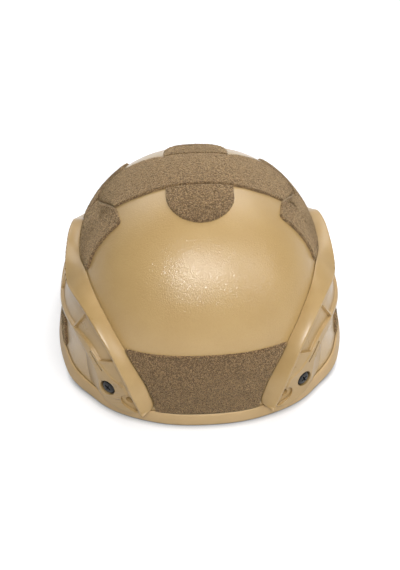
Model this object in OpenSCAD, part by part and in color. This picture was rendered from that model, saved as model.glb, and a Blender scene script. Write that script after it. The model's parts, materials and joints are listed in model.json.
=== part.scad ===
// Combat helmet with side accessory rails, loop panels, pad liner, dial fit band and chin harness.
// The helmet faces -Y, stands on its front and rear rim, and +X is the wearer's left.

/* [Shell] */
// Half width of the shell above the ears
half_w = 120; // [114:1:126]
// Reach of the shell in front of its middle
front_l = 124; // [118:1:130]
// Reach of the shell behind its middle
back_l = 141; // [135:1:147]
// Height of the dome above the line where the walls stand upright
dome_h = 138; // [132:1:144]
// Height of that upright line above the ground
wall_z = 32; // [28:1:36]
// Squareness of the dome profile, where 2 is round
dome_n = 2.1; // [2:0.05:2.3]
// Squareness of the plan outline, where 2 is an ellipse
plan_n = 2.35; // [2.2:0.05:2.5]
// Wall thickness of the moulded shell
shell_t = 7.5; // [6:0.5:9]
// How far the rim stands out beside the ears
ear_flare = 15; // [12:1:18]
// How far the rim stands out at the front
front_flare = 4.5; // [2:0.5:6]
// How much further the rim stands out at the ends of the brow
brow_flare = 2.5; // [0:0.5:4]
// How far the rim stands out at the nape
back_flare = 8; // [4:1:10]
// Height at which the flare has died out
flare_top = 90; // [84:1:96]
// How much higher the rim is over the ears
ear_lift = 6; // [3:1:9]

/* [Edge trim] */
// Thickness of the trim's legs and sole
trim_t = 1.9; // [1.4:0.1:2.4]
// Height of the trim's legs above the rim
trim_h = 9; // [7:0.5:11]
// Height of the trim's outer leg above the rim, which shows as a smooth border
trim_face = 11.5; // [8:0.5:11.5]

/* [Loop panels] */
// Thickness of a loop panel with its pile
panel_t = 2.2; // [1.5:0.1:3]
// Corner radius of the loop panels
panel_r = 6; // [3:0.5:8]
// Height of the front panel's lower edge
front_panel_z0 = 14; // [14:1:18]
// Height of the front panel's upper edge
front_panel_z1 = 77; // [70:1:82]
// Half width of the crown tongues
tongue_w = 28.5; // [24:0.5:32]
// How far the front tongue reaches in front of the middle
tongue_front = 48; // [42:1:54]
// How far the rear tongue reaches behind the middle
tongue_rear = 82; // [74:1:88]
// Front edge of the crown band behind the middle, where minus is in front
band_y0 = -8.5; // [-12:0.5:-5]
// Rear edge of the crown band behind the middle
band_y1 = 43; // [38:1:48]

/* [Accessory rails] */
// Stand-off of the rail's flange from the shell
rail_crest = 12; // [9:0.5:14]
// Thickness of the flange
flange_t = 2.6; // [2:0.1:3.4]
// Height of the rail's raised faces above the shell
rail_high = 7; // [6:0.5:8.5]
// Height of the floor of the pockets above the shell
rail_low = 4; // [3:0.5:5]
// Depth of the face round the front screw below the raised faces
face_drop = 0.8; // [0.4:0.1:1.5]
// Diameter of the accessory holes
accessory_d = 7; // [5:0.5:8]
// Diameter of the recess round an accessory hole
recess_d = 15; // [12:0.5:18]
// Depth of that recess
recess_deep = 2; // [1:0.5:3]
// How far the front recess reaches past its hole
recess_reach = 8; // [6:0.5:11]
// Number of serrations along the flange
notch_n = 14; // [6:1:16]
// Width of a serration
notch_w = 2.4; // [1.5:0.1:3]
// Depth of a serration
notch_deep = 2; // [1:0.1:2.4]

/* [Rail screws] */
// Diameter of the screw heads
head_d = 13.5; // [11:0.5:15]
// Height of the screw heads
head_h = 3.2; // [2.5:0.1:4]
// Diameter of the screw shanks
shank_d = 5; // [4:0.5:6]
// Diameter of the nuts' flanges
nut_d = 16; // [13:0.5:18]

/* [Liner pads] */
// Thickness of the pads at their middle
pad_t = 19; // [15:1:22]
// Corner radius of the pads
pad_r = 15; // [10:1:18]
// Radius of the crown pad
crown_pad_r = 60; // [52:1:64]
// Diameter of the hook discs behind the pads
disc_d = 34; // [26:1:40]
// Thickness of the hook discs
disc_t = 1.2; // [0.8:0.1:1.6]

/* [Dial fit band] */
// Thickness of one arm
arm_t = 1.8; // [1.4:0.1:2.2]
// Height of the arms
arm_h = 14; // [12:0.5:16]
// Distance of the arms' arc from the shell's side
arm_gap = 12.5; // [11:0.5:15]
// Diameter of the knob
knob_d = 36; // [30:1:40]
// Depth of the knob
knob_h = 9; // [7:0.5:10]
// Diameter of the pinion
pinion_d = 10; // [8:0.5:10]
// Diameter of the knob's shaft
shaft_d = 6; // [5:0.5:7]
// Length of the housing across the nape
housing_l = 58; // [50:1:66]
// Thickness of the nape pad
nape_t = 9; // [6:0.5:11]

/* [Chin harness] */
// Width of the webbing
web_w = 19; // [16:1:20]
// Thickness of the webbing
web_t = 1.8; // [1.2:0.1:2.2]
// Diameter of the pivot pins at the junctions
pin_d = 6; // [4:0.5:7]
// Distance of the chin strap's front from the junctions
chin_reach = 88; // [80:1:92]
// Width of the chin cup
cup_w = 34; // [28:1:36]
// Length of the buckle socket
socket_l = 24; // [22:1:28]
// Thickness of the buckle
buckle_t = 8; // [7:0.5:10]

/* [Hidden] */
$fn = 48;
tan_paint = [0.69, 0.55, 0.41];
tan_rail = [0.66, 0.52, 0.38];
tan_rubber = [0.58, 0.48, 0.38];
loop_brown = [0.36, 0.33, 0.29];
web_tan = [0.55, 0.47, 0.36];
foam_black = [0.12, 0.12, 0.13];
hard_black = [0.05, 0.05, 0.05];

// Gap that keeps soft pieces off their neighbours, and the one under long sheets that follow the dome
soft_gap = 0.3;
strip_gap = 0.55;
// Gap between plates that bear on each other
seat_gap = 0.25;
// Radial clearance of pins and shafts
fit = 0.05;
// Height of the shell's own rim above the ground, where the trim's sole lies under it
rim_base = trim_t;
// Azimuths, counted from the front, where the rim's flares start, and how long each one grows
brow_from = 22;
brow_ramp = 22;
ear_from = 46;
ear_ramp = 17;
ear_to = 120;
back_ramp = 40;
// Surface length that stands for one degree of azimuth in the wall chart
chart = PI * half_w / 180;
// Columns and rows of the shell
columns = 72;
rows = 16;
// Place of the dome's middle, so that the helmet's box is centred on the origin
function reach(azs) = max([for (az = azs) wall_r(az, rim_base) * abs(cos(az))]);
// Stand-off of the flange and of the raised faces for which the rails' control rows are drawn
drawn_crest = 12;
drawn_high = 7;
// How much further forward the rails' front ends reach than the rim
rail_lead = max(0, 0.9 * (rail_crest - drawn_crest) - 0.25);
mid_y = (reach([0 : 45]) + rail_lead - reach([135 : 180])) / 2;

function clamp01(x) = min(1, max(0, x));
function smooth(x) = let (t = clamp01(x)) t * t * (3 - 2 * t);
function mix(a, b, t) = a + (b - a) * t;
function turn(az) = abs(az > 180 ? az - 360 : az);
function unit(v) = v / norm(v);

function flare(az, z) =
    let (a = turn(az), brow = front_flare + brow_flare * smooth((a - brow_from) / brow_ramp))
    let (side = mix(brow, ear_flare, smooth((a - ear_from) / ear_ramp)))
    mix(side, back_flare, smooth((a - ear_to) / back_ramp)) * pow(max(0, 1 - z / flare_top), 2);
function plan_r(az) =
    let (s = abs(sin(az)) / half_w, c = abs(cos(az)) / (cos(az) > 0 ? front_l : back_l))
    pow(pow(s, plan_n) + pow(c, plan_n), -1 / plan_n);
function wall_r(az, z) =
    plan_r(az) * pow(1 - pow(clamp01((z - wall_z) / dome_h), dome_n), 1 / dome_n) + flare(az, z);
// Point of the outer surface at an azimuth and a height
function wall_at(az, z) = let (r = wall_r(az, z)) [r * sin(az), mid_y - r * cos(az), z];
// Point of the outer surface over a place in plan, for pieces near the crown
function crown_at(x, y) =
    let (r = norm([x, y]), g = r < 0.001 ? 0 : r / plan_r(atan2(x, -y)))
    [x, y + mid_y, wall_z + dome_h * pow(max(0, 1 - pow(g, dome_n)), 1 / dome_n)];
// Size of the dome through a point as a share of the real one, so its slope is the surface normal
function field(p) =
    let (y = p.y - mid_y, r = norm([p.x, y]), az = atan2(p.x, -y), v = max(0, p.z - wall_z) / dome_h)
    let (g = r < 0.001 ? 0 : max(0, r - flare(az, p.z)) / plan_r(az))
    pow(pow(g, dome_n) + pow(v, dome_n), 1 / dome_n);
function slope(p, d) = field(p + d) - field(p - d);
function normal_at(p) = unit([slope(p, [0.05, 0, 0]), slope(p, [0, 0.05, 0]), slope(p, [0, 0, 0.05])]);
function skin(p, off) = p + off * normal_at(p);
// Point of a parallel surface at a height, for the rim and what grips it
function level_skin(az, z, off) =
    let (p = skin(wall_at(az, z), off), q = skin(wall_at(az, 2 * z - p.z), off)) [q.x, q.y, z];
function rim_z(az) =
    let (a = turn(az))
    rim_base + ear_lift * smooth((a - 46) / 22) * (1 - smooth((a - 112) / 30));
// Point of the outer surface in a direction seen from the middle of the upright line
function dome_at(az, el) =
    let (c = cos(el), s = sin(el), r = plan_r(az))
    let (k = pow(pow(c / r, dome_n) + pow(max(0, s) / dome_h, dome_n), 1 / dome_n))
    let (z = wall_z + s / k, rr = c / k + flare(az, wall_z + s / k))
    s < 0 ? wall_at(az, wall_z + r * tan(el)) : [rr * sin(az), mid_y - rr * cos(az), z];

// Closed solid from rings of points, with a middle point under the first and over the last ring
module rings_solid(first, rings, last) {
    n = len(rings[0]);
    m = len(rings);
    points = concat([first], [for (ring = rings) each ring], [last]);
    under = [for (j = [0 : n - 1]) [1 + j, 1 + (j + 1) % n, 0]];
    over = [for (j = [0 : n - 1]) [1 + (m - 1) * n + (j + 1) % n, 1 + (m - 1) * n + j, m * n + 1]];
    sides = [for (i = [0 : m - 2]) for (j = [0 : n - 1])
        let (a = 1 + i * n + j, b = 1 + i * n + (j + 1) % n)
        each [[a, a + n, b + n], [a, b + n, b]]];
    polyhedron(points = points, faces = concat(under, sides, over));
}

// Closed hoop from sections of points
module hoop_solid(sections) {
    n = len(sections[0]);
    m = len(sections);
    points = [for (section = sections) each section];
    faces = [for (i = [0 : m - 1]) for (j = [0 : n - 1])
        let (i2 = (i + 1) % m, j2 = (j + 1) % n)
        let (a = i * n + j, b = i * n + j2, c = i2 * n + j2, d = i2 * n + j)
        each [[a, d, c], [a, c, b]]];
    polyhedron(points = points, faces = faces);
}

// Outline with round corners, and with its long edges divided so that it follows the dome
function corner(a, b, c, r, n = 2) =
    let (v1 = unit(a - b), v2 = unit(c - b), half = acos(v1 * v2) / 2)
    let (m = b + unit(v1 + v2) * r / sin(half))
    let (s = b + v1 * r / tan(half) - m, e = b + v2 * r / tan(half) - m)
    let (a0 = atan2(s.y, s.x), d = atan2(e.y, e.x) - a0, da = d > 180 ? d - 360 : d < -180 ? d + 360 : d)
    [for (i = [0 : n]) m + r * [cos(a0 + da * i / n), sin(a0 + da * i / n)]];
function rounded(pts, r) =
    let (n = len(pts))
    [for (i = [0 : n - 1]) each corner(pts[(i + n - 1) % n], pts[i], pts[(i + 1) % n], r)];
function divided(pts, step) =
    let (n = len(pts))
    [for (i = [0 : n - 1])
        let (a = pts[i], b = pts[(i + 1) % n], k = max(1, ceil(norm(b - a) / step)))
        for (j = [0 : k - 1]) mix(a, b, j / k)];
function round_outline(c, r, n) = [for (i = [0 : n - 1]) c + r * [cos(360 * i / n), sin(360 * i / n)]];
function centre_of(pts) = [for (k = [0 : 1]) let (v = [for (p = pts) p[k]]) (min(v) + max(v)) / 2];

// A place in one of the two charts: over the crown in plan, or on the walls as length and height
function chart_at(q, wall) = wall ? wall_at(q.x / chart, q.y) : crown_at(q.x, q.y);

// Sheet on the shell. Each row of the profile is [share of the outline, inset, offset from the shell]
module sheet(outline, profile, wall, lo, hi) {
    c = centre_of(outline);
    rings = [for (row = profile) [for (q = outline)
        let (f = row[0] * (1 - row[1] / norm(q - c)))
        skin(chart_at(mix(c, q, f), wall), row[2])]];
    middle = chart_at(c, wall);
    rings_solid(skin(middle, lo), rings, skin(middle, hi));
}

// Long sheet on the shell, laid as cuts across its length. The place function gives the chart place for
// a share of the length from -1 to 1 and a share of the width from 0 to 1
module strip_sheet(place, stops, wall, lo, hi, inset) {
    mid = mix(lo, hi, 0.5);
    cut = [[0, lo], [0.33, lo], [0.67, lo], [1, lo], [1, mid], [1 - inset, hi], [0.67, hi], [0.33, hi],
        [inset, hi], [0, mid]];
    last = len(stops) - 1;
    rings = [for (i = [0 : last]) [for (q = cut)
        skin(chart_at(place(stops[i], q[0]), wall), i == 0 || i == last ? min(q[1], mid) : q[1])]];
    ends = [for (s = [stops[0], stops[last]]) skin(chart_at(place(s, 0.5), wall), mix(lo, mid, 0.5))];
    rings_solid(ends[0], rings, ends[1]);
}

// Loop panel: a flat sheet with a rounded edge
module loop_panel(outline, wall) {
    lo = soft_gap;
    hi = soft_gap + panel_t;
    profile = [[0.4, 0, lo], [0.75, 0, lo], [1, 0.3, lo], [1, 0, lo + panel_t * 0.5],
        [1, 0.5, hi - 0.25], [1, 1.4, hi], [0.75, 0, hi], [0.4, 0, hi]];
    sheet(divided(outline, 15), profile, wall, lo, hi);
}

// Pad on the inside: flat back, sides drawn in, crowned face
module liner_pad(outline) {
    back = -(shell_t + disc_t + 2.5 * soft_gap);
    face = back - pad_t;
    profile = [[0.5, 0, face + pad_t * 0.02], [0.8, 0, face + pad_t * 0.06], [0.94, 0, face + pad_t * 0.17],
        [1, 0, face + pad_t * 0.42], [1, 0.6, back - pad_t * 0.3], [1, 1.6, back - pad_t * 0.1],
        [0.95, 0, back], [0.5, 0, back]];
    sheet(divided(outline, 15), profile, !is_crown(outline), face, back);
}
function is_crown(outline) = norm(centre_of(outline)) < 40;

// Places a child on the outer surface, with its z axis along the outward normal and x down the wall
module on_wall(az, z) {
    p = wall_at(az, z);
    n = normal_at(p);
    translate(p) rotate([0, acos(n.z), atan2(n.y, n.x)]) children();
}
module other_side() mirror([1, 0, 0]) children();

// Shell and trim

screw_front = [38.4, 30];
screw_rear = [129, 36];
bore_clear = 0.25;

module shell_body() {
    azs = [for (j = [0 : columns - 1]) 360 * j / columns];
    low = [for (az = azs) atan((rim_z(az) - wall_z) / plan_r(az))];
    levels = [for (i = [0 : rows - 1]) i / rows];
    outer = [for (t = levels) [for (j = [0 : columns - 1]) dome_at(azs[j], mix(low[j], 90, t))]];
    inner = concat([for (i = [rows - 1 : -1 : 1]) [for (p = outer[i]) skin(p, -shell_t)]],
        [[for (az = azs) level_skin(az, rim_z(az), -shell_t)]]);
    top = [0, mid_y, wall_z + dome_h];
    rings_solid(skin(top, -shell_t), concat(inner, outer), top);
}

module shell_bores() {
    for (place = [screw_front, screw_rear]) {
        on_wall(place[0], place[1])
            cylinder(h = 6 * shell_t, r = shank_d / 2 + bore_clear, center = true);
    }
}

module shell() {
    color(tan_paint) difference() {
        shell_body();
        shell_bores();
        other_side() shell_bores();
    }
}

module edge_trim() {
    inner = -shell_t;
    grip = 0.2;
    legs = [[trim_face, grip], [trim_face - 0.3, trim_t * 0.6], [trim_face - 1.2, trim_t], [0, trim_t],
        [-trim_t * 0.75, trim_t * 0.4], [-trim_t, -trim_t * 0.4], [-trim_t, inner + trim_t * 0.4],
        [-trim_t * 0.75, inner - trim_t * 0.4], [0, inner - trim_t], [trim_h - 1.2, inner - trim_t],
        [trim_h, inner - grip], [-0.1, inner - grip], [-0.1, grip]];
    sections = [for (j = [0 : columns - 1])
        let (az = 360 * j / columns)
        [for (q = legs) level_skin(az, rim_z(az) + q[0], q[1])]];
    color(tan_rubber) hoop_solid(sections);
}

// Loop panels

// Stops along a strip, closer at its ends, where the corners are round
strip_stops = [-1, -0.985, -0.94, -0.8, -0.64, -0.48, -0.32, -0.16, 0, 0.16, 0.32, 0.48, 0.64, 0.8, 0.94,
    0.985, 1];
function round_end(s) = 1 - sqrt(max(0, 1 - pow(max(0, (abs(s) - 0.92) / 0.08), 2)));

// Ends of the front panel, which follow the inner edges of the rails
function rail_inner(z) = chart * lookup(z, [for (row = rail_rows) if (row[0] < 60) [row[1], row[0]]]);
module front_loop_panel() {
    place = function (s, f)
        let (a = front_panel_z0 + panel_r * round_end(s))
        let (b = front_panel_z1 - 3 * s * s - panel_r * round_end(s), z = mix(a, b, f))
        [s * (rail_inner(z) - 1.4 * seam), z];
    color(loop_brown)
        strip_sheet(place, strip_stops, true, strip_gap, strip_gap + panel_t, 0.03);
}

// Gap between neighbouring loop panels
seam = 0.9;

// Place in plan beside the rails: how far in from the shell's half width, and how far behind the middle
function from_side(in_by, y) = [half_w - in_by, y];
// Edges of the crown band on one side of the middle
band_corner = half_w - 48;
band_end = half_w - 33.3;
band_shoulder = half_w - 40;
band_bend = half_w - 70;
band_peak = half_w - 50;
band_front = [[0, band_y0], [band_bend, band_y0 + 0.5], [band_corner, band_y0 + 4.5],
    [band_end, band_y0 + 33.5]];
band_back = [[0, band_y1], [tongue_w, band_y1], [tongue_w + 8, band_y1 + 4], [half_w - 64, band_y1 + 8],
    [band_peak, band_y1 + 8.5], [band_shoulder, band_y1 + 3.5], [band_shoulder + 5, band_y1 - 2],
    [band_end, band_y1 - 11]];
half_stops = concat([0.08 * band_end], [tongue_w / 2, tongue_w, tongue_w + 8],
    [mix(tongue_w + 8, band_bend, 0.5), band_bend],
    [mix(band_bend, band_peak, 0.6), band_peak, band_corner, band_shoulder, band_shoulder + 5],
    [for (f = [0.985, 1]) f * band_end]) / band_end;
band_stops = concat([for (i = [len(half_stops) - 1 : -1 : 0]) -half_stops[i]], [0], half_stops);
module crown_band_panel() {
    place = function (s, f)
        let (x = abs(s) * band_end)
        let (a = lookup(x, band_front) + 2 * round_end(s), b = lookup(x, band_back) - 2 * round_end(s))
        [s * band_end, mix(a, b, f)];
    color(loop_brown) strip_sheet(place, band_stops, false, strip_gap, strip_gap + panel_t, 0.04);
}

// Round-ended tongue between a straight edge and its tip
function tongue(y0, tip) =
    let (r = tongue_w, s = tip > y0 ? 1 : -1, c = tip - s * tongue_w)
    let (pts = concat([[r, y0], [r, mix(y0, c, 0.5)]],
        [for (i = [0 : 10]) [r * cos(i * 18), c + s * r * sin(i * 18)]],
        [[-r, mix(y0, c, 0.5)], [-r, y0], [0, y0]]))
    s > 0 ? pts : [for (i = [len(pts) - 1 : -1 : 0]) pts[i]];

module crown_front_tongue_panel() {
    color(loop_brown) loop_panel(tongue(band_y0 - seam, -tongue_front), false);
}

module crown_rear_tongue_panel() {
    color(loop_brown) loop_panel(tongue(band_y1 + seam, tongue_rear), false);
}

// Place in plan just inside the inner edge of a rail
function rail_plan(t) = let (p = rail_point(t, -seam, 0)) [p.x, p.y - mid_y];
module left_side_loop_panel() {
    outline = rounded([[band_corner - seam, band_y0 + 2.3], from_side(53, -27.5), from_side(43.5, -29.5),
        from_side(36, -31.3), from_side(28, -34.3), rail_plan(10.75), rail_plan(12), rail_plan(13),
        rail_plan(14), rail_plan(14.8), [band_end + seam + 1.2, band_y0 + 41],
        [band_end + seam, band_y0 + 32.5], [band_corner + seam, band_y0 + 3.5]], 2);
    color(loop_brown) loop_panel(outline, false);
}
module right_side_loop_panel() other_side() left_side_loop_panel();

module left_rear_side_loop_panel() {
    outline = rounded([[band_end + seam + 1.6, band_y0 + 42.3], [rail_plan(14.8)[0], band_y0 + 42.3],
        rail_plan(16), from_side(42, 88), from_side(60, 92),
        from_side(56, 72), from_side(54.5, 54.6), [band_shoulder + 0.6, 48.1], [band_shoulder + 6, 42.1]], 3);
    color(loop_brown) loop_panel(outline, false);
}
module right_rear_side_loop_panel() other_side() left_rear_side_loop_panel();

// Height of an ear panel over its lower edge, which stays over the trim
ear_panel_z0 = rim_base + ear_lift + trim_face + 0.8;
module left_ear_loop_panel() {
    u0 = 68 * chart;
    u1 = 113 * chart;
    outline = rounded([[u0 + 3, ear_panel_z0], [u1, ear_panel_z0], [u1 - 6, 36], [u1 - 12, 43],
        [mix(u0, u1, 0.5), 41], [u0 + 31, 40.5], [u0 + 19, 37], [u0 + 11.5, 31.5],
        [u0 + 2, ear_panel_z0 + 5]], 3);
    color(loop_brown) loop_panel(outline, true);
}
module right_ear_loop_panel() other_side() left_ear_loop_panel();

module rear_loop_panel() {
    low = 66;
    high = 60;
    place = function (s, f)
        let (a = front_panel_z0 + panel_r * round_end(s), b = 88 - 6 * s * s - panel_r * round_end(s))
        [180 * chart + s * mix(low, high, f), mix(a, b, f)];
    color(loop_brown)
        strip_sheet(place, strip_stops, true, strip_gap, strip_gap + panel_t, 0.03);
}

// Accessory rails. Each control row is a cut across the rail:
// [azimuth and height of its inner edge, azimuth and height of its outer edge, lean of the flange,
// stand-off of the flange on a rail of the drawn height]

rail_rows = [[20.8, 19, 29.5, 10, 8, 11.5], [21, 24, 32.5, 9.5, 8.4, 12], [22, 31, 41.5, 12.4, 8.5, 12],
    [23.7, 42, 48, 17.5, 8.5, 12], [26.2, 52, 50.3, 26, 7, 12], [29, 61, 51.5, 37, 6, 12],
    [32.8, 72, 52.5, 47.5, 5, 12], [37.8, 82, 53.8, 54.8, 4.5, 12], [45, 93, 57, 58, 5.5, 12],
    [53, 100, 62, 59, 7.5, 12], [61, 104, 69, 56, 12, 12], [69.2, 105.6, 77, 52, 15.5, 12],
    [80.5, 101.9, 84, 48.5, 7.5, 12], [90.2, 100.1, 91, 47, 3.5, 12], [99.7, 101.1, 98, 47.5, 2.5, 12],
    [109.2, 99.6, 104, 48.5, 3, 10.5], [117.6, 89.3, 109, 47, 3.5, 8.5], [125, 78.8, 113.5, 43, 4, 8],
    [131, 70, 117, 37, 5, 8.5], [134, 56, 119.5, 30, 3, 8.5], [135.5, 44, 122, 24, 3, 8.5],
    [136, 34, 126, 20, 3, 8.5], [135, 26, 130.5, 20, 1, 7.5]];
rail_last = len(rail_rows) - 1;
// Faces between the ribs, as stretches of the control rows with the height of each one's floor.
// The first carries the screw and the accessory hole, and the others are pockets
face_high = rail_high - face_drop;
pockets = [[1.5, 5.42, face_high], [5.58, 8.69, rail_low], [8.83, 12.73, rail_low],
    [12.87, 16.33, rail_low], [16.47, 18.6, rail_low]];
pocket_wall = 0.06;

// Curve through the control rows
function row_at(t) =
    let (i = min(rail_last - 1, floor(t)), f = t - i)
    let (a = rail_rows[max(0, i - 1)], b = rail_rows[i], c = rail_rows[i + 1])
    let (d = rail_rows[min(rail_last, i + 2)])
    0.5 * (2 * b + (c - a) * f + (2 * a - 5 * b + 4 * c - d) * f * f + (3 * b - a - 3 * c + d) * f * f * f);
function floor_at(t) =
    let (floors = [for (p = pockets) if (t > p[0] + 0.01 && t < p[1] - 0.01) p[2]])
    len(floors) > 0 ? floors[0] : rail_high - 0.4;
function pocket_stops(p) =
    let (k = max(1, round((p[1] - p[0]) / 0.75)), a = p[0] + pocket_wall, b = p[1] - pocket_wall)
    concat([p[0]], [for (i = [0 : k]) mix(a, b, i / k)], [p[1]]);
rail_stops = concat([0, 0.5, 1], [for (p = pockets) each pocket_stops(p)],
    [19.3, 20, 20.7, 21.3, 21.7, rail_last]);
// Rails pass over the trim where they reach down to it
function rail_seat(az, z) =
    seat_gap + (trim_t + 0.1) * (1 - smooth((z - rim_z(az) - trim_face - 0.5) / 2));
// Height of the flange, which follows the rows above the raised faces
function crest_at(t) =
    rail_high + (row_at(t)[5] - drawn_high) * (rail_crest - rail_high) / (drawn_crest - drawn_high);
// Point of a rail at a control position, a distance from its inner edge and an offset
function rail_point(t, s, off) =
    let (row = row_at(t), w = rail_width(row), f = s / w)
    skin(wall_at(mix(row[0], row[2], f), mix(row[1], row[3], f)), off);
function rail_width(row) = norm(wall_at(row[0], row[1]) - wall_at(row[2], row[3]));

// How much further in the pockets' outer border lies than at the rail's middle
taper_from = 8.6;
taper_rate = 4;
taper_bend = 0.17;
function pocket_taper(t) = let (x = max(0, taper_from - t)) taper_rate * x * (1 + taper_bend * x);
// Width of the sloping bank outside the raised faces, which grows from both of its ends to the middle,
// and the height of its foot where it is wider than bank_wide
bank_foot = 1.8;
bank_most = 18;
bank_wide = 8;
bank_ends = [0.8, 7.6];
bank_ramp = 3.2;
function bank_at(t) =
    bank_most * smooth((bank_ends[1] - t) / bank_ramp) * smooth((t - bank_ends[0]) / bank_ramp);
// Least width of a pocket's floor
floor_least = 5;

function rail_section(t) =
    let (row = row_at(t), w = rail_width(row), g = min(1, w / 26), lean = row[4] * g)
    let (crest = crest_at(t), floor_h = floor_at(t))
    let (foot = lean + (flange_t + 1.3) * g, bank = bank_at(t), edge = w - (1.3 + bank) * g)
    let (lip = max(foot + floor_least * g, w - (5.6 + pocket_taper(t)) * g))
    let (bank_h = mix(rail_high - 1.4, bank_foot, min(1, bank / bank_wide)))
    let (low = function (s) rail_seat(mix(row[0], row[2], s / w), mix(row[1], row[3], s / w)))
    let (chain = [[0, low(0)], [0.2, low(0) + 1.2], [lean, crest - 0.9], [lean + 0.8 * g, crest],
        [lean + flange_t * g, crest - 0.15], [lean + (flange_t + 0.7) * g, crest - 1.1],
        [lean + (flange_t + 0.9) * g, floor_h + 0.5], [foot, floor_h], [mix(foot, lip, 0.33), floor_h],
        [mix(foot, lip, 0.67), floor_h], [lip, floor_h], [min(lip + 0.8 * g, edge - 0.5 * g), rail_high],
        [edge, rail_high], [w - 0.2 * g, bank_h], [w, low(w)]])
    let (back = [for (f = [0.8, 0.6, 0.4, 0.2]) [f * w, low(f * w)]])
    [for (q = concat(chain, back)) rail_point(t, q[0], q[1])];

module rail_body() {
    sections = [for (t = rail_stops) rail_section(t)];
    first = rail_point(0, rail_width(row_at(0)) / 2, rail_high / 2 + 0.6);
    last = rail_point(rail_last, rail_width(row_at(rail_last)) / 2, rail_high / 2);
    rings_solid(first, sections, last);
}

accessory_place = [29.8, 24];
rear_hole_place = [131.5, 52];
slit_place = [44, 51.8];
slit_l = 20;
slit_w = 1.8;
slit_turn = 53;
head_seat = 3;
recess_floor = face_high - recess_deep;

module rail_bores() {
    for (place = [screw_front, screw_rear]) {
        on_wall(place[0], place[1]) {
            cylinder(h = 6 * shell_t, r = shank_d / 2 + bore_clear, center = true);
            translate([0, 0, head_seat]) cylinder(h = 30, r = head_d / 2 + 0.8);
        }
    }
    for (place = [accessory_place, rear_hole_place]) {
        on_wall(place[0], place[1]) {
            cylinder(h = 60, r = accessory_d / 2, center = true);
            translate([0, 0, recess_floor]) cylinder(h = 30, r = recess_d / 2);
        }
    }
}

// The front recess runs on to the rail's end beside the flange, as a D
module front_recess() {
    on_wall(accessory_place[0], accessory_place[1]) translate([0, 0, recess_floor])
        linear_extrude(height = 30) hull() {
            circle(r = recess_d / 2, $fn = 48);
            translate([recess_reach, -recess_reach * 0.75]) circle(r = recess_d / 6, $fn = 24);
        }
}

module rail_notches() {
    for (i = [0 : notch_n - 1]) {
        t = mix(11, 15, i / (notch_n - 1));
        p = rail_point(t, row_at(t)[4] + flange_t, crest_at(t));
        az = atan2(p.x, mid_y - p.y);
        translate(p) rotate([0, 0, az]) cube([notch_w, 2 * notch_deep, 2 * notch_deep], center = true);
    }
}

module left_rail() {
    color(tan_rail) difference() {
        rail_body();
        rail_bores();
        front_recess();
        rail_notches();
        on_wall(slit_place[0], slit_place[1])
            rotate([0, 0, -slit_turn]) cube([slit_l, slit_w, 8 * rail_high], center = true);
    }
}
module right_rail() other_side() left_rail();

// Screws and nuts. A nut's flange holds the end of a harness strap against the shell

web_low = -(shell_t + soft_gap + 0.1);
web_high = web_low - web_t;
nut_face = web_high - 2.2 * soft_gap;
nut_l = 4;
// Thickness of a nut's flange, and of the wall round its thread
nut_flange = 1.4;
nut_wall = 1.8;

module rail_screw(place) {
    r = head_d / 2;
    under = head_seat + 0.05;
    color(hard_black) on_wall(place[0], place[1]) difference() {
        union() {
            translate([0, 0, under]) rotate_extrude()
                polygon([[0, 0], [r, 0], [r, head_h * 0.4], [r * 0.93, head_h * 0.68],
                    [r * 0.75, head_h * 0.9], [r * 0.5, head_h], [0, head_h]]);
            translate([0, 0, nut_face - nut_l]) cylinder(h = under - nut_face + nut_l, r = shank_d / 2);
        }
        for (a = [25, 115])
            translate([0, 0, under + head_h]) rotate([0, 0, a]) cube([r * 0.95, r * 0.2, 3.6], center = true);
    }
}
module left_front_rail_screw() rail_screw(screw_front);
module right_front_rail_screw() other_side() rail_screw(screw_front);
module left_rear_rail_screw() rail_screw(screw_rear);
module right_rear_rail_screw() other_side() rail_screw(screw_rear);

module rail_nut(place) {
    on_wall(place[0], place[1]) difference() {
        union() {
            translate([0, 0, nut_face - nut_flange]) cylinder(h = nut_flange, r = nut_d / 2);
            translate([0, 0, nut_face - nut_l]) cylinder(h = nut_l, r = shank_d / 2 + nut_wall);
        }
        translate([0, 0, nut_face - 2 * nut_l]) cylinder(h = 4 * nut_l, r = shank_d / 2 + fit);
    }
}
module left_rail_nuts() {
    color("dimgray") {
        rail_nut(screw_front);
        rail_nut(screw_rear);
    }
}
module right_rail_nuts() other_side() left_rail_nuts();

// Liner pads and the hook discs behind them

front_pad_z = [46, 92];
side_pad_z = [60, 112];
rear_pad_z = [84, 122];
side_pad_front = [50, 74];
side_pad_rear = [99, 124];

function pad_box(u0, u1, z0, z1) = rounded([[u0, z0], [u1, z0], [u1, z1], [u0, z1]], pad_r);
crown_outline = round_outline([0, 6], crown_pad_r, 26);
front_outline = pad_box(-44, 44, front_pad_z[0], front_pad_z[1]);
rear_outline = pad_box(180 * chart - 44, 180 * chart + 44, rear_pad_z[0], rear_pad_z[1]);
function side_outline(span) = pad_box(span[0] * chart, span[1] * chart, side_pad_z[0], side_pad_z[1]);

module crown_pad() color(foam_black) liner_pad(crown_outline);
module front_pad() color(foam_black) liner_pad(front_outline);
module rear_pad() color(foam_black) liner_pad(rear_outline);
module left_front_side_pad() color(foam_black) liner_pad(side_outline(side_pad_front));
module right_front_side_pad() other_side() left_front_side_pad();
module left_rear_side_pad() color(foam_black) liner_pad(side_outline(side_pad_rear));
module right_rear_side_pad() other_side() left_rear_side_pad();

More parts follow.
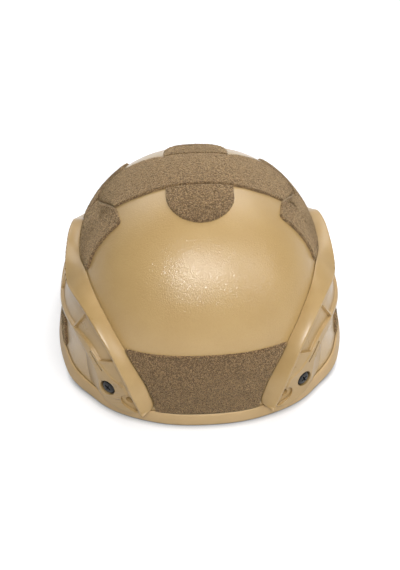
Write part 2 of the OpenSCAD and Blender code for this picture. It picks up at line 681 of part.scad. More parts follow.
module hook_disc(c, wall) {
    lo = -(shell_t + soft_gap + disc_t);
    hi = -(shell_t + soft_gap);
    profile = [[1, 0, lo], [1, 0, hi]];
    sheet(round_outline(c, disc_d / 2, 16), profile, wall, lo, hi);
}
module side_discs() {
    hook_disc(centre_of(side_outline(side_pad_front)), true);
    hook_disc(centre_of(side_outline(side_pad_rear)), true);
}
module pad_hook_discs() {
    color(foam_black) {
        hook_disc(centre_of(crown_outline), false);
        hook_disc(centre_of(front_outline), true);
        hook_disc(centre_of(rear_outline), true);
        side_discs();
        other_side() side_discs();
    }
}

// Dial fit band. Its parts lie in a plane that drops towards the nape, round the arms' arc centre

arm_r = half_w - shell_t - arm_gap;
arm_gap_r = 0.4;
band_tilt = 8.9;
band_y = mid_y + back_l - shell_t - arm_r - 21.5;
band_z = 46;
// Degrees of arc that each arm travels when the knob turns through its range
arm_travel = 12;
arm_tail = 8;
arm_end = 92;
slot_h = pinion_d / 2 + 0.4;

module band_frame() translate([0, band_y, band_z]) rotate([-band_tilt, 0, 0]) children();

// Ring sector about the arc centre, with angles counted from the nape towards the wearer's left
module arc_strip(r0, r1, a0, a1, h) {
    rotate([0, 0, 90 - a1]) rotate_extrude(angle = a1 - a0)
        translate([r0, -h / 2]) square([r1 - r0, h]);
}

// One arm lies in the inner layer and the other in the outer one
module arm(r0, tooth_side) {
    slot0 = -4.2;
    slot1 = arm_travel + 4.5;
    gaps = 8;
    gap_w = 1.2;
    holes = 4;
    hole_r = 1.6;
    hole_pitch = 7;
    difference() {
        arc_strip(r0, r0 + arm_t, -arm_tail, arm_end, arm_h);
        arc_strip(r0 - 1, r0 + arm_t + 1, slot0, slot1, 2 * slot_h);
        for (i = [0 : gaps])
            rotate([0, 0, -mix(slot0 + 1, slot1 - 1, i / gaps)])
                translate([0, r0, tooth_side * slot_h]) cube([gap_w, 3 * arm_t, gap_w], center = true);
        for (i = [0 : holes - 1])
            rotate([0, 0, -(arm_end - 4 - i * hole_pitch)])
                translate([0, r0 - arm_t, 0]) rotate([-90, 0, 0])
                    cylinder(h = 4 * arm_t, r = hole_r, $fn = 24);
    }
}
module left_arm() color(hard_black) band_frame() arm(arm_r - arm_t - arm_gap_r / 2, 1);
module right_arm() color(hard_black) band_frame() mirror([1, 0, 0]) arm(arm_r + arm_gap_r / 2, -1);

// Room for both arms with running clearance
module arm_channel(a0, a1) {
    arc_strip(arm_r - arm_t - arm_gap_r / 2 - 0.4, arm_r + arm_t + arm_gap_r / 2 + 0.4, a0, a1, arm_h + 0.8);
}

housing_d = 13;
housing_h = arm_h + 10;
module dial_housing() {
    color(hard_black) band_frame() difference() {
        translate([0, arm_r, 0]) union() {
            rotate([90, 0, 0]) cylinder(h = housing_d, r = knob_d / 2 - 1, center = true);
            cube([housing_l, housing_d, housing_h], center = true);
        }
        arm_channel(-60, 60);
        translate([0, arm_r, 0]) rotate([90, 0, 0]) {
            cylinder(h = 4 * housing_d, r = shaft_d / 2 + fit, center = true);
            cylinder(h = 2 * arm_t + arm_gap_r + 0.8, r = pinion_d / 2 + 0.3, center = true);
        }
    }
}

// Shaft, pinion and ribbed grip of the knob turn together
module dial_knob() {
    back = arm_r + housing_d / 2 + 0.3;
    ribs = 24;
    rib_r = 1.1;
    rim = 5;
    dish = 1.2;
    color(hard_black) band_frame() {
        translate([0, back, 0]) rotate([-90, 0, 0]) difference() {
            cylinder(h = knob_h, r = knob_d / 2);
            for (i = [0 : ribs - 1])
                rotate([0, 0, 360 * i / ribs])
                    translate([knob_d / 2, 0, -1]) cylinder(h = 2 * knob_h, r = rib_r, $fn = 16);
            translate([0, 0, knob_h - dish]) cylinder(h = knob_h, r = knob_d / 2 - rim);
        }
        translate([0, arm_r - housing_d / 2 + 1, 0]) rotate([-90, 0, 0])
            cylinder(h = housing_d - 1 + 0.5, r = shaft_d / 2);
        translate([0, arm_r - arm_t - arm_gap_r / 2, 0]) rotate([-90, 0, 0])
            cylinder(h = 2 * arm_t + arm_gap_r, r = pinion_d / 2);
    }
}

// Strip that hangs the housing on the shell above it
hanger_w = 26;
hanger_z = 72;
hanger_t = 3;
// Room for the curve of the wall across the hanger's foot
bow = 0.8;
function band_side(y, z) = [band_y + y * cos(band_tilt) + z * sin(band_tilt),
    band_z - y * sin(band_tilt) + z * cos(band_tilt)];
function inner_side(z, deep) = let (p = level_skin(180, z, -(shell_t + seat_gap + deep))) [p.y, p.z];
module dial_hanger() {
    foot = knob_d / 2 - 1 + seat_gap;
    color(hard_black) rotate([90, 0, 90]) translate([0, 0, -hanger_w / 2]) linear_extrude(hanger_w)
        polygon([inner_side(hanger_z, bow), inner_side(hanger_z - 13, bow + 0.1),
            band_side(arm_r + 5.5, foot), band_side(arm_r - 5.5, foot),
            band_side(arm_r - 5.5, foot + hanger_t), band_side(arm_r + 2, foot + hanger_t),
            inner_side(hanger_z - 9, bow + hanger_t), inner_side(hanger_z, bow + hanger_t)]);
}

guide_az = 108;
guide_z = 42;
guide_w = 11;
guide_h = arm_h + 6;
module left_arm_guide() {
    color(hard_black) difference() {
        on_wall(guide_az, guide_z)
            translate([-guide_h / 2, -guide_w / 2, -(shell_t + 2 * seat_gap)]) mirror([0, 0, 1]) {
                cube([guide_h / 2 - 1.5, guide_w, 2 * web_t + 3]);
                translate([0, 0, web_t + 2]) cube([guide_h, guide_w, arm_gap + 10]);
            }
        band_frame() arm_channel(20, 110);
    }
}
module right_arm_guide() other_side() left_arm_guide();

module nape_pad() {
    face = arm_r - housing_d / 2 - soft_gap;
    w = housing_l - 2;
    h = housing_h + 16;
    color(foam_black) band_frame() translate([0, face - nape_t, 0]) rotate([-90, 0, 0])
        nape_cushion(w, h, nape_t);
}
// Cushion with a flat back, a crowned face and sides drawn in
module nape_cushion(w, h, t) {
    outline = divided(rounded([[-w / 2, -h / 2], [w / 2, -h / 2], [w / 2, h / 2], [-w / 2, h / 2]], 14), 14);
    profile = [[0.5, t * 0.03], [0.8, t * 0.12], [0.93, t * 0.3], [1, t * 0.6], [0.98, t * 0.9], [0.93, t],
        [0.5, t]];
    rings = [for (row = profile) [for (q = outline) [q.x * row[0], q.y * row[0], row[1]]]];
    rings_solid([0, 0, 0], rings, [0, 0, t]);
}

// Chin harness. Side straps run from the screws to the junctions

junction_az = 88;
junction_z = 29;
junction_w = 26;
junction_h = 20;
junction_t = 3.6;

module side_strap(from, to_u) {
    a = [from[0] * chart, from[1]];
    b = [to_u, junction_z];
    v = unit(b - a);
    n = [-v.y, v.x] * web_w;
    e = v * (nut_d / 2 + 2);
    turned = v.x > 0 ? 1 : -1;
    ends = v.x > 0 ? [a - e, b] : [b, a - e];
    place = function (s, f) mix(ends[0], ends[1], (s + 1) / 2) + turned * n * (f - 0.5);
    stops = [for (i = [-5 : 5]) i / 5];
    color(web_tan) difference() {
        strip_sheet(place, stops, true, web_high, web_low, 0.03);
        on_wall(from[0], from[1]) cylinder(h = 6 * shell_t, r = shank_d / 2 + bore_clear, center = true);
    }
}
strap_stop = junction_w / 2 + 2 * soft_gap;
module left_front_strap() side_strap(screw_front, junction_az * chart - strap_stop);
module right_front_strap() other_side() left_front_strap();
module left_rear_strap() side_strap(screw_rear, junction_az * chart + strap_stop);
module right_rear_strap() other_side() left_rear_strap();

// The junction's plate lies against the shell, and its pin carries the end of the chin strap
junction_gap = 0.9;
pivot = skin(wall_at(junction_az, junction_z), -(shell_t + junction_gap));
ring_t = 3;
ring_x = pivot.x - junction_t - 3;
module left_junction() {
    stop_t = 1.4;
    color(hard_black) {
        on_wall(junction_az, junction_z)
            translate([-junction_h / 2, -junction_w / 2, -(shell_t + junction_gap + junction_t)])
                cube([junction_h, junction_w, junction_t]);
        translate([ring_x - ring_t - seat_gap, pivot.y, pivot.z]) rotate([0, 90, 0])
            cylinder(h = pivot.x - ring_x + ring_t - junction_t / 2, r = pin_d / 2);
        translate([ring_x - ring_t - seat_gap - stop_t, pivot.y, pivot.z]) rotate([0, 90, 0])
            cylinder(h = stop_t, r = pin_d / 2 + 2);
    }
}
module right_junction() other_side() left_junction();

// The chin strap lies in a plane through both pivots that drops to the front
stow = asin((pivot.z - cup_w / 2 - 0.9) / chin_reach);
module chin_frame() translate([0, pivot.y, pivot.z]) rotate([stow, 0, 0]) children();

chin_x = ring_x - ring_t / 2;
chin_corner = [chin_x, -26];
chin_front = [58, -chin_reach];
chin_dir = unit(chin_front - chin_corner);
function chin_side(s) = chin_corner + s * chin_dir;

// Ribbon standing on its edge along a path
module ribbon(path, t, w) {
    n = len(path);
    dirs = [for (i = [0 : n - 1]) unit(path[min(n - 1, i + 1)] - path[max(0, i - 1)])];
    side = [for (d = dirs) [-d.y, d.x] * t / 2];
    translate([0, 0, -w / 2]) linear_extrude(w)
        polygon(concat([for (i = [0 : n - 1]) path[i] + side[i]],
            [for (i = [n - 1 : -1 : 0]) path[i] - side[i]]));
}
module strap_eye() {
    translate([chin_x, 0, 0]) rotate([0, 90, 0]) difference() {
        hull() {
            cylinder(h = ring_t, r = pin_d / 2 + 4, center = true);
            translate([0, -9, 0]) cube([web_w, 6, ring_t], center = true);
        }
        cylinder(h = 2 * ring_t, r = pin_d / 2 + fit, center = true);
    }
}

buckle_s = 14;
plug_l = 13;
prong_l = 17;
slot_t = web_t + 1.2;

module left_chin_strap() {
    path = concat([[chin_x, -11]], corner([chin_x, -11], chin_corner, chin_front, 14, 5),
        [chin_side(buckle_s + 3.6)]);
    color(web_tan) chin_frame() {
        strap_eye();
        ribbon(path, web_t, web_w);
    }
}

// Local frame of the buckle: x along the strap away from the left pivot, y outward, z across the web
module buckle_frame(s) {
    p = chin_side(s);
    translate([p.x, p.y, 0]) rotate([0, 0, atan2(chin_dir.y, chin_dir.x)]) children();
}

buckle_w = web_w + 13;
prong_z = web_w / 2 + 2.4;
prong_w = 3.2;
module buckle_socket() {
    color(hard_black) chin_frame() buckle_frame(buckle_s) difference() {
        translate([0, -buckle_t / 2, -buckle_w / 2]) cube([socket_l, buckle_t, buckle_w]);
        translate([-1, -slot_t / 2, -web_w / 2 - 0.4]) cube([5.2, slot_t, web_w + 0.8]);
        translate([6, -buckle_t / 2 + 1.6, -buckle_w / 2 + 1.8])
            cube([socket_l, buckle_t - 3.2, buckle_w - 3.6]);
        for (s = [-1, 1])
            translate([9, -buckle_t, s * buckle_w / 2 - 2.5]) cube([10, 2 * buckle_t, 5]);
    }
}

module buckle_plug() {
    prong_t = buckle_t - 4;
    color(hard_black) chin_frame() buckle_frame(buckle_s + socket_l + 0.4) difference() {
        union() {
            translate([0, -buckle_t / 2, -buckle_w / 2]) cube([plug_l, buckle_t, buckle_w]);
            for (s = [-1, 1])
                translate([-prong_l, -prong_t / 2, s * prong_z - prong_w / 2])
                    cube([prong_l + 1, prong_t, prong_w]);
        }
        translate([-1, -slot_t / 2, -web_w / 2 - 0.4]) cube([2 * plug_l, slot_t, web_w + 0.8]);
    }
}

module right_chin_strap() {
    right = [-chin_x, -11];
    a = [-chin_corner.x, chin_corner.y];
    b = [-chin_front.x, chin_front.y];
    path = concat([right], corner(right, a, b, 14, 5), corner(a, b, chin_front, 14, 5),
        corner(b, chin_front, chin_corner, 14, 5), [chin_side(buckle_s + socket_l + 3.4)]);
    color(web_tan) chin_frame() {
        mirror([1, 0, 0]) strap_eye();
        ribbon(path, web_t, web_w);
    }
}

// Cup behind the front of the strap, hollow towards the chin
module chin_cup() {
    gap = web_t / 2 + soft_gap;
    reach_x = 42;
    hollow = 16;
    wall = 4.5;
    arc = [for (a = [-60 : 10 : 60]) [reach_x * sin(a), gap - chin_reach + hollow * (1 - cos(a))]];
    back = [for (i = [len(arc) - 1 : -1 : 0]) arc[i] + [0, wall]];
    color(hard_black) chin_frame() translate([0, 0, -cup_w / 2]) linear_extrude(cup_w)
        polygon(concat(arc, back));
}

shell();
edge_trim();
front_loop_panel();
crown_band_panel();
crown_front_tongue_panel();
crown_rear_tongue_panel();
left_side_loop_panel();
right_side_loop_panel();
left_rear_side_loop_panel();
right_rear_side_loop_panel();
left_ear_loop_panel();
right_ear_loop_panel();
rear_loop_panel();
left_rail();
right_rail();
left_front_rail_screw();
right_front_rail_screw();
left_rear_rail_screw();
right_rear_rail_screw();
left_rail_nuts();
right_rail_nuts();
crown_pad();
front_pad();
rear_pad();
left_front_side_pad();
right_front_side_pad();
left_rear_side_pad();
right_rear_side_pad();
pad_hook_discs();
dial_housing();
dial_hanger();
dial_knob();
left_arm();
right_arm();
left_arm_guide();
right_arm_guide();
nape_pad();
left_front_strap();
right_front_strap();
left_rear_strap();
right_rear_strap();
left_junction();
right_junction();
left_chin_strap();
buckle_socket();
right_chin_strap();
buckle_plug();
chin_cup();
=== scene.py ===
# %% [markdown]
# # A combat helmet, dressed for the camera
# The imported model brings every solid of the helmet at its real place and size. This lesson gives
# each one its finish: a sand-textured shell, rubber trim, glued-on loop panels with their pile,
# moulded rails, webbing, foam pads and black hardware. Lengths in the functions are millimetres,
# because a maker thinks in them, and every mesh is turned to metres as its last step.

# %% Open the frame
import json
import math

import bmesh
import bpy
import numpy as np
from mathutils import Matrix, Vector


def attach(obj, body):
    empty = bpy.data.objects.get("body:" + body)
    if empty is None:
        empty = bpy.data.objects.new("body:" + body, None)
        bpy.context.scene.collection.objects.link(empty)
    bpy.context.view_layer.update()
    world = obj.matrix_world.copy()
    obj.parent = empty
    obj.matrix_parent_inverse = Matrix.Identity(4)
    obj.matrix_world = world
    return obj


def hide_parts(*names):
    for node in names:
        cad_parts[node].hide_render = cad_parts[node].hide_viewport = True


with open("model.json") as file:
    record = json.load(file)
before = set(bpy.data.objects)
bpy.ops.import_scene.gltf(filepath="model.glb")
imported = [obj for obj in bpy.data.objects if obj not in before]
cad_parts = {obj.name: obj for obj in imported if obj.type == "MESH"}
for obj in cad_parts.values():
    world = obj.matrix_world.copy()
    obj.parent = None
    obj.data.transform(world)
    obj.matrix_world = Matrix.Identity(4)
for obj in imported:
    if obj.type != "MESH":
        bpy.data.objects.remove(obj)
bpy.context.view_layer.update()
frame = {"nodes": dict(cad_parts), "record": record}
MM = 0.001
body_of_node = {n: b for b, ns in frame["record"]["behaviour"]["bodies"].items() for n in ns}

# %% [markdown]
# ## The shell as a formula
# A real shell is pressed in a mould, and everything glued or screwed to it follows its surface.
# The same holds here: one function gives the outer surface, and trim, panels, pads and straps are
# made flat and then laid on it. The plan is a rounded box (a superellipse), the dome another one
# over it, and the rim flares out, most of all beside the ears.

# %% Surface functions
HALF_W, FRONT_L, BACK_L = 120.0, 124.0, 141.0
DOME_H, WALL_Z, DOME_N, PLAN_N = 138.0, 32.0, 2.1, 2.35
FRONT_FLARE, BROW_FLARE, EAR_FLARE, BACK_FLARE, FLARE_TOP = 4.5, 2.5, 15.0, 8.0, 90.0
SHELL_T, RIM_BASE, EAR_LIFT = 7.5, 1.9, 6.0
MIDDLE_Y = -10.17689
CHART = math.pi * HALF_W / 180


def ramp(x, start, length):
    t = np.clip((x - start) / length, 0, 1)
    return t * t * (3 - 2 * t)


def mix(a, b, t):
    return a + (b - a) * t


def from_front(az):
    return np.abs((np.asarray(az, float) + 180) % 360 - 180)


def flare(az, z):
    a = from_front(az)
    brow = FRONT_FLARE + BROW_FLARE * ramp(a, 22, 22)
    side = mix(brow, EAR_FLARE, ramp(a, 46, 17))
    return mix(side, BACK_FLARE, ramp(a, 120, 40)) * np.maximum(0, 1 - z / FLARE_TOP) ** 2


def plan_r(az):
    az = np.radians(az)
    half_l = np.where(np.cos(az) > 0, FRONT_L, BACK_L)
    s, c = np.abs(np.sin(az)) / HALF_W, np.abs(np.cos(az)) / half_l
    return (s ** PLAN_N + c ** PLAN_N) ** (-1 / PLAN_N)


def around(r, az, z):
    az = np.radians(az)
    return np.stack([r * np.sin(az), MIDDLE_Y - r * np.cos(az), z + 0 * r], axis=-1)


def wall_point(az, z):
    t = np.clip((z - WALL_Z) / DOME_H, 0, 1)
    return around(plan_r(az) * (1 - t ** DOME_N) ** (1 / DOME_N) + flare(az, z), az, z)


def crown_point(x, y):
    r = np.hypot(x, y)
    g = r / plan_r(np.degrees(np.arctan2(x, -y)))
    top = WALL_Z + DOME_H * np.maximum(0, 1 - g ** DOME_N) ** (1 / DOME_N)
    return np.stack([x, y + MIDDLE_Y, top], axis=-1)


def share(p):
    y = p[..., 1] - MIDDLE_Y
    az = np.degrees(np.arctan2(p[..., 0], -y))
    g = np.maximum(0, np.hypot(p[..., 0], y) - flare(az, p[..., 2])) / plan_r(az)
    return (g ** DOME_N + np.maximum(0, (p[..., 2] - WALL_Z) / DOME_H) ** DOME_N) ** (1 / DOME_N)


def unit(v):
    return v / np.linalg.norm(v, axis=-1, keepdims=True)


def outward(p):
    return unit(np.stack([share(p + d) - share(p - d) for d in 0.05 * np.eye(3)], axis=-1))


def skin(p, off):
    return p + np.asarray(off)[..., None] * outward(p)


def level_skin(az, z, off):
    """Point of a parallel surface at a wanted height, for the rim and what grips it."""
    drop = skin(wall_point(az, z), off)[..., 2] - z
    q = skin(wall_point(az, z - drop), off)
    q[..., 2] = z
    return q


def rim_z(az):
    a = from_front(az)
    return RIM_BASE + EAR_LIFT * ramp(a, 46, 22) * (1 - ramp(a, 112, 30))


print("crown at", crown_point(np.array([0.0]), np.array([0.001]))[0].round(1))

# %% [markdown]
# ## Small helpers
# A piece starts as a bmesh, becomes a mesh, and its points are then moved all at once with numpy,
# as if a flat blank were pressed over the mould. The finished object stays at the origin, with its
# place in its points.

# %% Mesh helpers
random = np.random.default_rng(7)
WELD = 2e-5


def points_of(mesh, what="co"):
    values = np.empty(len(mesh.vertices) * 3)
    mesh.vertices.foreach_get(what, values)
    return values.reshape(-1, 3)


def set_points(mesh, co):
    mesh.vertices.foreach_set("co", np.asarray(co, float).ravel())
    mesh.update()


def shade(mesh, smooth):
    mesh.polygons.foreach_set("use_smooth", [smooth] * len(mesh.polygons))


def bmesh_of(mesh, weld=0.0):
    """A mesh opened for editing, with points closer than weld joined."""
    bm = bmesh.new()
    bm.from_mesh(mesh)
    if weld:
        bmesh.ops.remove_doubles(bm, verts=bm.verts, dist=weld)
    return bm
def to_object(bm, name, shape=None, smooth=True):
    """Turns a bmesh into an object, moving its points with shape(co) in millimetres."""
    mesh = bpy.data.meshes.new(name)
    bm.to_mesh(mesh)
    bm.free()
    if shape is not None:
        set_points(mesh, shape(points_of(mesh)) * MM)
    shade(mesh, smooth)
    obj = bpy.data.objects.new(name, mesh)
    bpy.context.scene.collection.objects.link(obj)
    return obj


def face_out(obj):
    bm = bmesh_of(obj.data)
    bmesh.ops.recalc_face_normals(bm, faces=bm.faces)
    bm.to_mesh(obj.data)
    bm.free()
    return obj


def finish_piece(obj, node, material):
    """Rides on the node's body, stands for the node, and takes its finish."""
    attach(obj, body_of_node[node])
    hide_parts(node)
    obj.data.materials.clear()
    obj.data.materials.append(material)
    return obj


def other_side(obj, name):
    """The same piece for the other side of the helmet."""
    bm = bmesh_of(obj.data)
    for v in bm.verts:
        v.co.x = -v.co.x
    bmesh.ops.reverse_faces(bm, faces=bm.faces)
    twin = to_object(bm, name)
    twin.data.polygons.foreach_set("use_smooth", [p.use_smooth for p in obj.data.polygons])
    return twin


def right_of(name):
    return name.replace("left_", "right_")


def both_sides(left, node, material):
    """Finishes a left piece and the right one that mirrors it."""
    finish_piece(left, node, material)
    finish_piece(other_side(left, right_of(left.name)), right_of(node), material)


# %% [markdown]
# ## Materials
# Colours are written as a screen's hex values, and one function turns them to the shader's linear
# ones. A few more each add a node and hand on its output, so that a material reads as a recipe.

# %% Material helpers


def linear(code):
    rgb = [int(code[i:i + 2], 16) / 255 for i in (1, 3, 5)]
    return [c / 12.92 if c <= 0.04045 else ((c + 0.055) / 1.055) ** 2.4 for c in rgb] + [1.0]


def add(mat, kind, links=None, **settings):
    """Adds a node. settings are its own properties, links are values or outputs for its inputs."""
    node = mat.node_tree.nodes.new("ShaderNode" + kind)
    for key, value in settings.items():
        setattr(node, key, value)
    for key, value in (links or {}).items():
        if isinstance(value, bpy.types.NodeSocket):
            mat.node_tree.links.new(value, node.inputs[key])
        else:
            node.inputs[key].default_value = value
    return node


def new_material(name):
    mat = bpy.data.materials.new(name)
    mat.use_nodes = True
    mat.node_tree.nodes.clear()
    return mat


def place_on(mat):
    return add(mat, "TexCoord").outputs["Object"]


def per_mm(pitch):
    """Scale of a pattern on Object coordinates whose cells are pitch millimetres apart."""
    return 1 / (pitch * MM)


def noise(mat, pitch, detail, output=0):
    return add(mat, "TexNoise", {"Vector": place_on(mat), "Scale": per_mm(pitch),
                                 "Detail": detail}).outputs[output]


def calc(mat, operation, *values):
    return add(mat, "Math", dict(enumerate(values)), operation=operation).outputs[0]


def ranged(mat, value, low, high, start=0.0, stop=1.0):
    """Turns a value between start and stop into one between low and high."""
    return add(mat, "MapRange", {"Value": value, "From Min": start, "From Max": stop,
                                 "To Min": low, "To Max": high}).outputs[0]


def tones(mat, amount, *stops):
    """Colour for an amount, through stops of (position, hex code)."""
    node = add(mat, "ValToRGB", {"Fac": amount})
    elements = node.color_ramp.elements
    for element, (at, code) in zip(elements, (stops[0], stops[-1])):
        element.position, element.color = at, linear(code)
    for at, code in stops[1:-1]:
        elements.new(at).color = linear(code)
    return node.outputs[0]


def bumped(mat, height, strength, depth):
    return add(mat, "Bump", {"Height": height, "Strength": strength,
                             "Distance": depth * MM}).outputs[0]


def surface(mat, colour, relief, rough, more):
    """The shader of a surface, led to the material's output. relief is what bumped() takes."""
    shader = add(mat, "BsdfPrincipled", {"Base Color": colour, "Normal": bumped(mat, *relief),
                                         "Roughness": rough, **more})
    add(mat, "OutputMaterial", {0: shader.outputs[0]})
    return mat


# %% [markdown]
# ### Sand-textured coat
# The shell is laid-up aramid under a polyurea coat sprayed with fine sand, so it is matt with an
# orange-peel grain of about a millimetre and a half, and a highlight breaks up into sparkles.

# %% Coat material
COAT_GRAIN, COAT_DEPTH = 1.5, 0.35


def sand_coat(name, light, dark, pitch, rough, depth):
    mat = new_material(name)
    both = calc(mat, "ADD", noise(mat, pitch, 2.0), noise(mat, pitch * 0.45, 1.0))
    cloud = calc(mat, "MULTIPLY", noise(mat, 38, 3.0), 0.55)
    tone = tones(mat, calc(mat, "MULTIPLY_ADD", both, 0.22, cloud),
                 (0.30, dark), (0.72, light))
    sand = bumped(mat, both, 0.9, depth * 0.7)
    return surface(mat, tone, (both, 0.55, depth), rough,
                   {"IOR": 1.5, "Coat Weight": 0.7, "Coat Roughness": 0.13, "Coat Normal": sand})


shell_paint = sand_coat("sprayed polyurea coat", "#C3A36D", "#B6955F", COAT_GRAIN, 0.42, COAT_DEPTH)
print("coat grain scale", round(per_mm(COAT_GRAIN)), "per metre")

# %% [markdown]
# ### Moulded nylon and rubber
# The rails are injection-moulded glass-filled nylon in the same tan: smoother than the coat, with a
# satin sheen that streaks along the flange. The trim is a dull moulded rubber. In narrow corners
# the colour is darkened as painted shade.

# %% Moulded materials
# Reach of the painted shade in narrow corners, in millimetres.
SHADE_REACH = 3


def moulded(name, light, dark, pitch, rough, depth, sheen=0.0):
    mat = new_material(name)
    fine, cloud = noise(mat, pitch, 3.0), noise(mat, 30, 4.0)
    tone = tones(mat, cloud, (0.35, dark), (0.68, light))
    # Painted shade: the colour is darkened where other faces lie within a few millimetres.
    near = add(mat, "AmbientOcclusion", {"Color": tone, "Distance": SHADE_REACH * MM})
    painted_corner_shade = ranged(mat, near.outputs["AO"], 0.3, 1.0, 0.15, 0.75)
    shown = add(mat, "VectorMath", {0: tone, "Scale": painted_corner_shade}, operation="SCALE")
    rub = ranged(mat, cloud, rough - 0.04, rough + 0.06, 0.3, 0.7)
    return surface(mat, shown.outputs[0], (fine, 0.4, depth), rub,
                   {"IOR": 1.5, "Sheen Weight": sheen})


rail_nylon = moulded("glass-filled nylon, moulded tan", "#BE9F6E", "#B29361", 0.9, 0.30, 0.06)
trim_rubber = moulded("moulded rubber trim, tan", "#CEAE80", "#C2A373", 0.7, 0.5, 0.08)
black_nylon = moulded("moulded acetal, black", "#1B1B1C", "#131314", 0.6, 0.42, 0.05)
padded_black = moulded("heat-formed foam cover, black", "#232325", "#19191B", 1.1, 0.62, 0.25, 0.3)

# %% [markdown]
# ### Blackened screws and plated nuts
# The screws are steel with a glossy black oxide and wax, the nuts are zinc plated.

# %% Metal materials


def plated(name, light, dark, metallic, rough):
    mat = new_material(name)
    wear = noise(mat, 2.2, 4.0)
    tone = tones(mat, wear, (0.4, dark), (0.7, light))
    rub = ranged(mat, wear, rough - 0.06, rough + 0.12)
    return surface(mat, tone, (wear, 0.15, 0.02), rub,
                   {"Metallic": metallic, "IOR": 1.36})


black_steel = plated("steel, black oxide and wax", "#0A0A0A", "#040404", 0.0, 0.12)
zinc_steel = plated("steel, zinc plated", "#B9BBBE", "#8E9094", 1.0, 0.34)

# %% [markdown]
# ### Loop pile
# The loop side of a hook-and-loop tape is brushed nylon: thousands of loops a millimetre or so
# apart. The colour is darkened to grey-brown in their depths as painted shade and lightened to
# straw on their tops as painted highlight. The pile's height is real geometry; the material adds
# strands.

# %% Loop material
LOOP_PITCH = 0.95


def loop_pile(name, top, middle, deep):
    mat = new_material(name)
    moved = add(mat, "MixRGB", {"Fac": 0.0012, "Color1": place_on(mat),
                                "Color2": noise(mat, 2.4, 2.0, "Color")},
                blend_type="ADD")
    loops = add(mat, "TexVoronoi", {"Vector": moved.outputs[0], "Scale": per_mm(LOOP_PITCH)})
    height = calc(mat, "SUBTRACT", noise(mat, 0.55, 3.0), loops.outputs["Distance"])
    # Painted shade and highlight: lower points of the pile get the dark colour, higher ones the
    # light one, over random patches.
    patchy_depth_shade = calc(mat, "MULTIPLY_ADD", noise(mat, 2.1, 2.0), 0.7, height)
    tone = tones(mat, patchy_depth_shade, (0.26, deep), (0.5, middle), (0.74, top))
    return surface(mat, tone, (height, 0.9, 0.7), 0.92,
                   {"Sheen Weight": 1.0, "Sheen Roughness": 0.4, "Sheen Tint": linear("#DCC096")})


# Colours for the lit tops, the middle and the shaded depths of the pile, painted by height.
loop_brown = loop_pile("brushed nylon loop, brown", "#B9986B", "#937550", "#5F4A33")
print("loops per decimetre:", round(100 / LOOP_PITCH))

# %% [markdown]
# ### Knitted cover and webbing
# The pads wear a brushed tricot that the hooks can grip: a matt black knit with a soft sheen. The
# straps are polyester webbing, a tight weave whose threads run in a small zigzag. Webbing bends, so
# its weave is drawn on the strap's own UV map, which holds its flat length and width.

# %% Cloth materials
WEB_PICK = 1.5


def knit_cover(name, light, dark, wale, course):
    mat = new_material(name)
    size = add(mat, "Mapping", {"Vector": place_on(mat),
                                "Scale": (per_mm(wale), per_mm(course), per_mm(wale))})
    loops = add(mat, "TexVoronoi", {"Vector": size.outputs[0], "Scale": 1.0,
                                    "Randomness": 0.35})
    tone = tones(mat, noise(mat, 5, 4.0), (0.35, dark), (0.65, light))
    return surface(mat, tone, (loops.outputs["Distance"], 0.5, 0.3), 0.9,
                   {"Sheen Weight": 0.5, "Sheen Roughness": 0.5})


def woven_web(name, light, dark, pick, zigzag):
    mat = new_material(name)
    flat = add(mat, "SeparateXYZ", {0: add(mat, "UVMap", uv_map="flat").outputs[0]})
    bent = calc(mat, "PINGPONG", flat.outputs[1], zigzag)
    turned = calc(mat, "MULTIPLY", calc(mat, "ADD", flat.outputs[0], bent),
                  2 * math.pi / pick)
    thread = calc(mat, "SINE", turned)
    wear = noise(mat, 9, 4.0)
    tone = tones(mat, calc(mat, "MULTIPLY_ADD", thread, 0.16, wear),
                 (0.3, dark), (0.7, light))
    return surface(mat, tone, (thread, 0.8, 0.22), 0.78,
                   {"Sheen Weight": 0.25, "Sheen Roughness": 0.4})


pad_tricot = knit_cover("brushed tricot knit, black", "#2B2B2E", "#1C1C1E", 1.4, 1.8)
tan_webbing = woven_web("woven polyester webbing, tan", "#A98F6C", "#84694B", WEB_PICK, 2.4)
print("webbing picks per 100 mm:", round(100 / WEB_PICK))

# %% [markdown]
# ## Shell
# A mould-pressed wall, seven and a half millimetres thick. A profile is spun into a round cup with
# an outer and an inner face, and its points are then pulled to the real surface, as cloth is over a
# mould. Spinning gives even columns and only one pole, which the crown panel hides.

# %% Make the shell
SHELL_COLUMNS, SHELL_ROWS = 180, 96
INNER = 0.9


def spun(profile, steps):
    """Spins a line of (radius, height) points round the upright axis into a closed skin."""
    bm = bmesh.new()
    verts = [bm.verts.new((r, 0, h)) for r, h in profile]
    edges = [bm.edges.new(pair) for pair in zip(verts, verts[1:])]
    bmesh.ops.spin(bm, geom=verts + edges, cent=(0, 0, 0), axis=(0, 0, 1), angle=2 * math.pi,
                   steps=steps, use_merge=True)
    bmesh.ops.remove_doubles(bm, verts=bm.verts, dist=1e-5)
    bmesh.ops.recalc_face_normals(bm, faces=bm.faces)
    return bm


def cup_profile(rows, inner):
    angles = [math.pi / 2 * i / rows for i in range(rows + 1)]
    outer = [(math.cos(a), math.sin(a)) for a in reversed(angles)]
    return outer + [(inner * math.cos(a), inner * math.sin(a)) for a in angles]


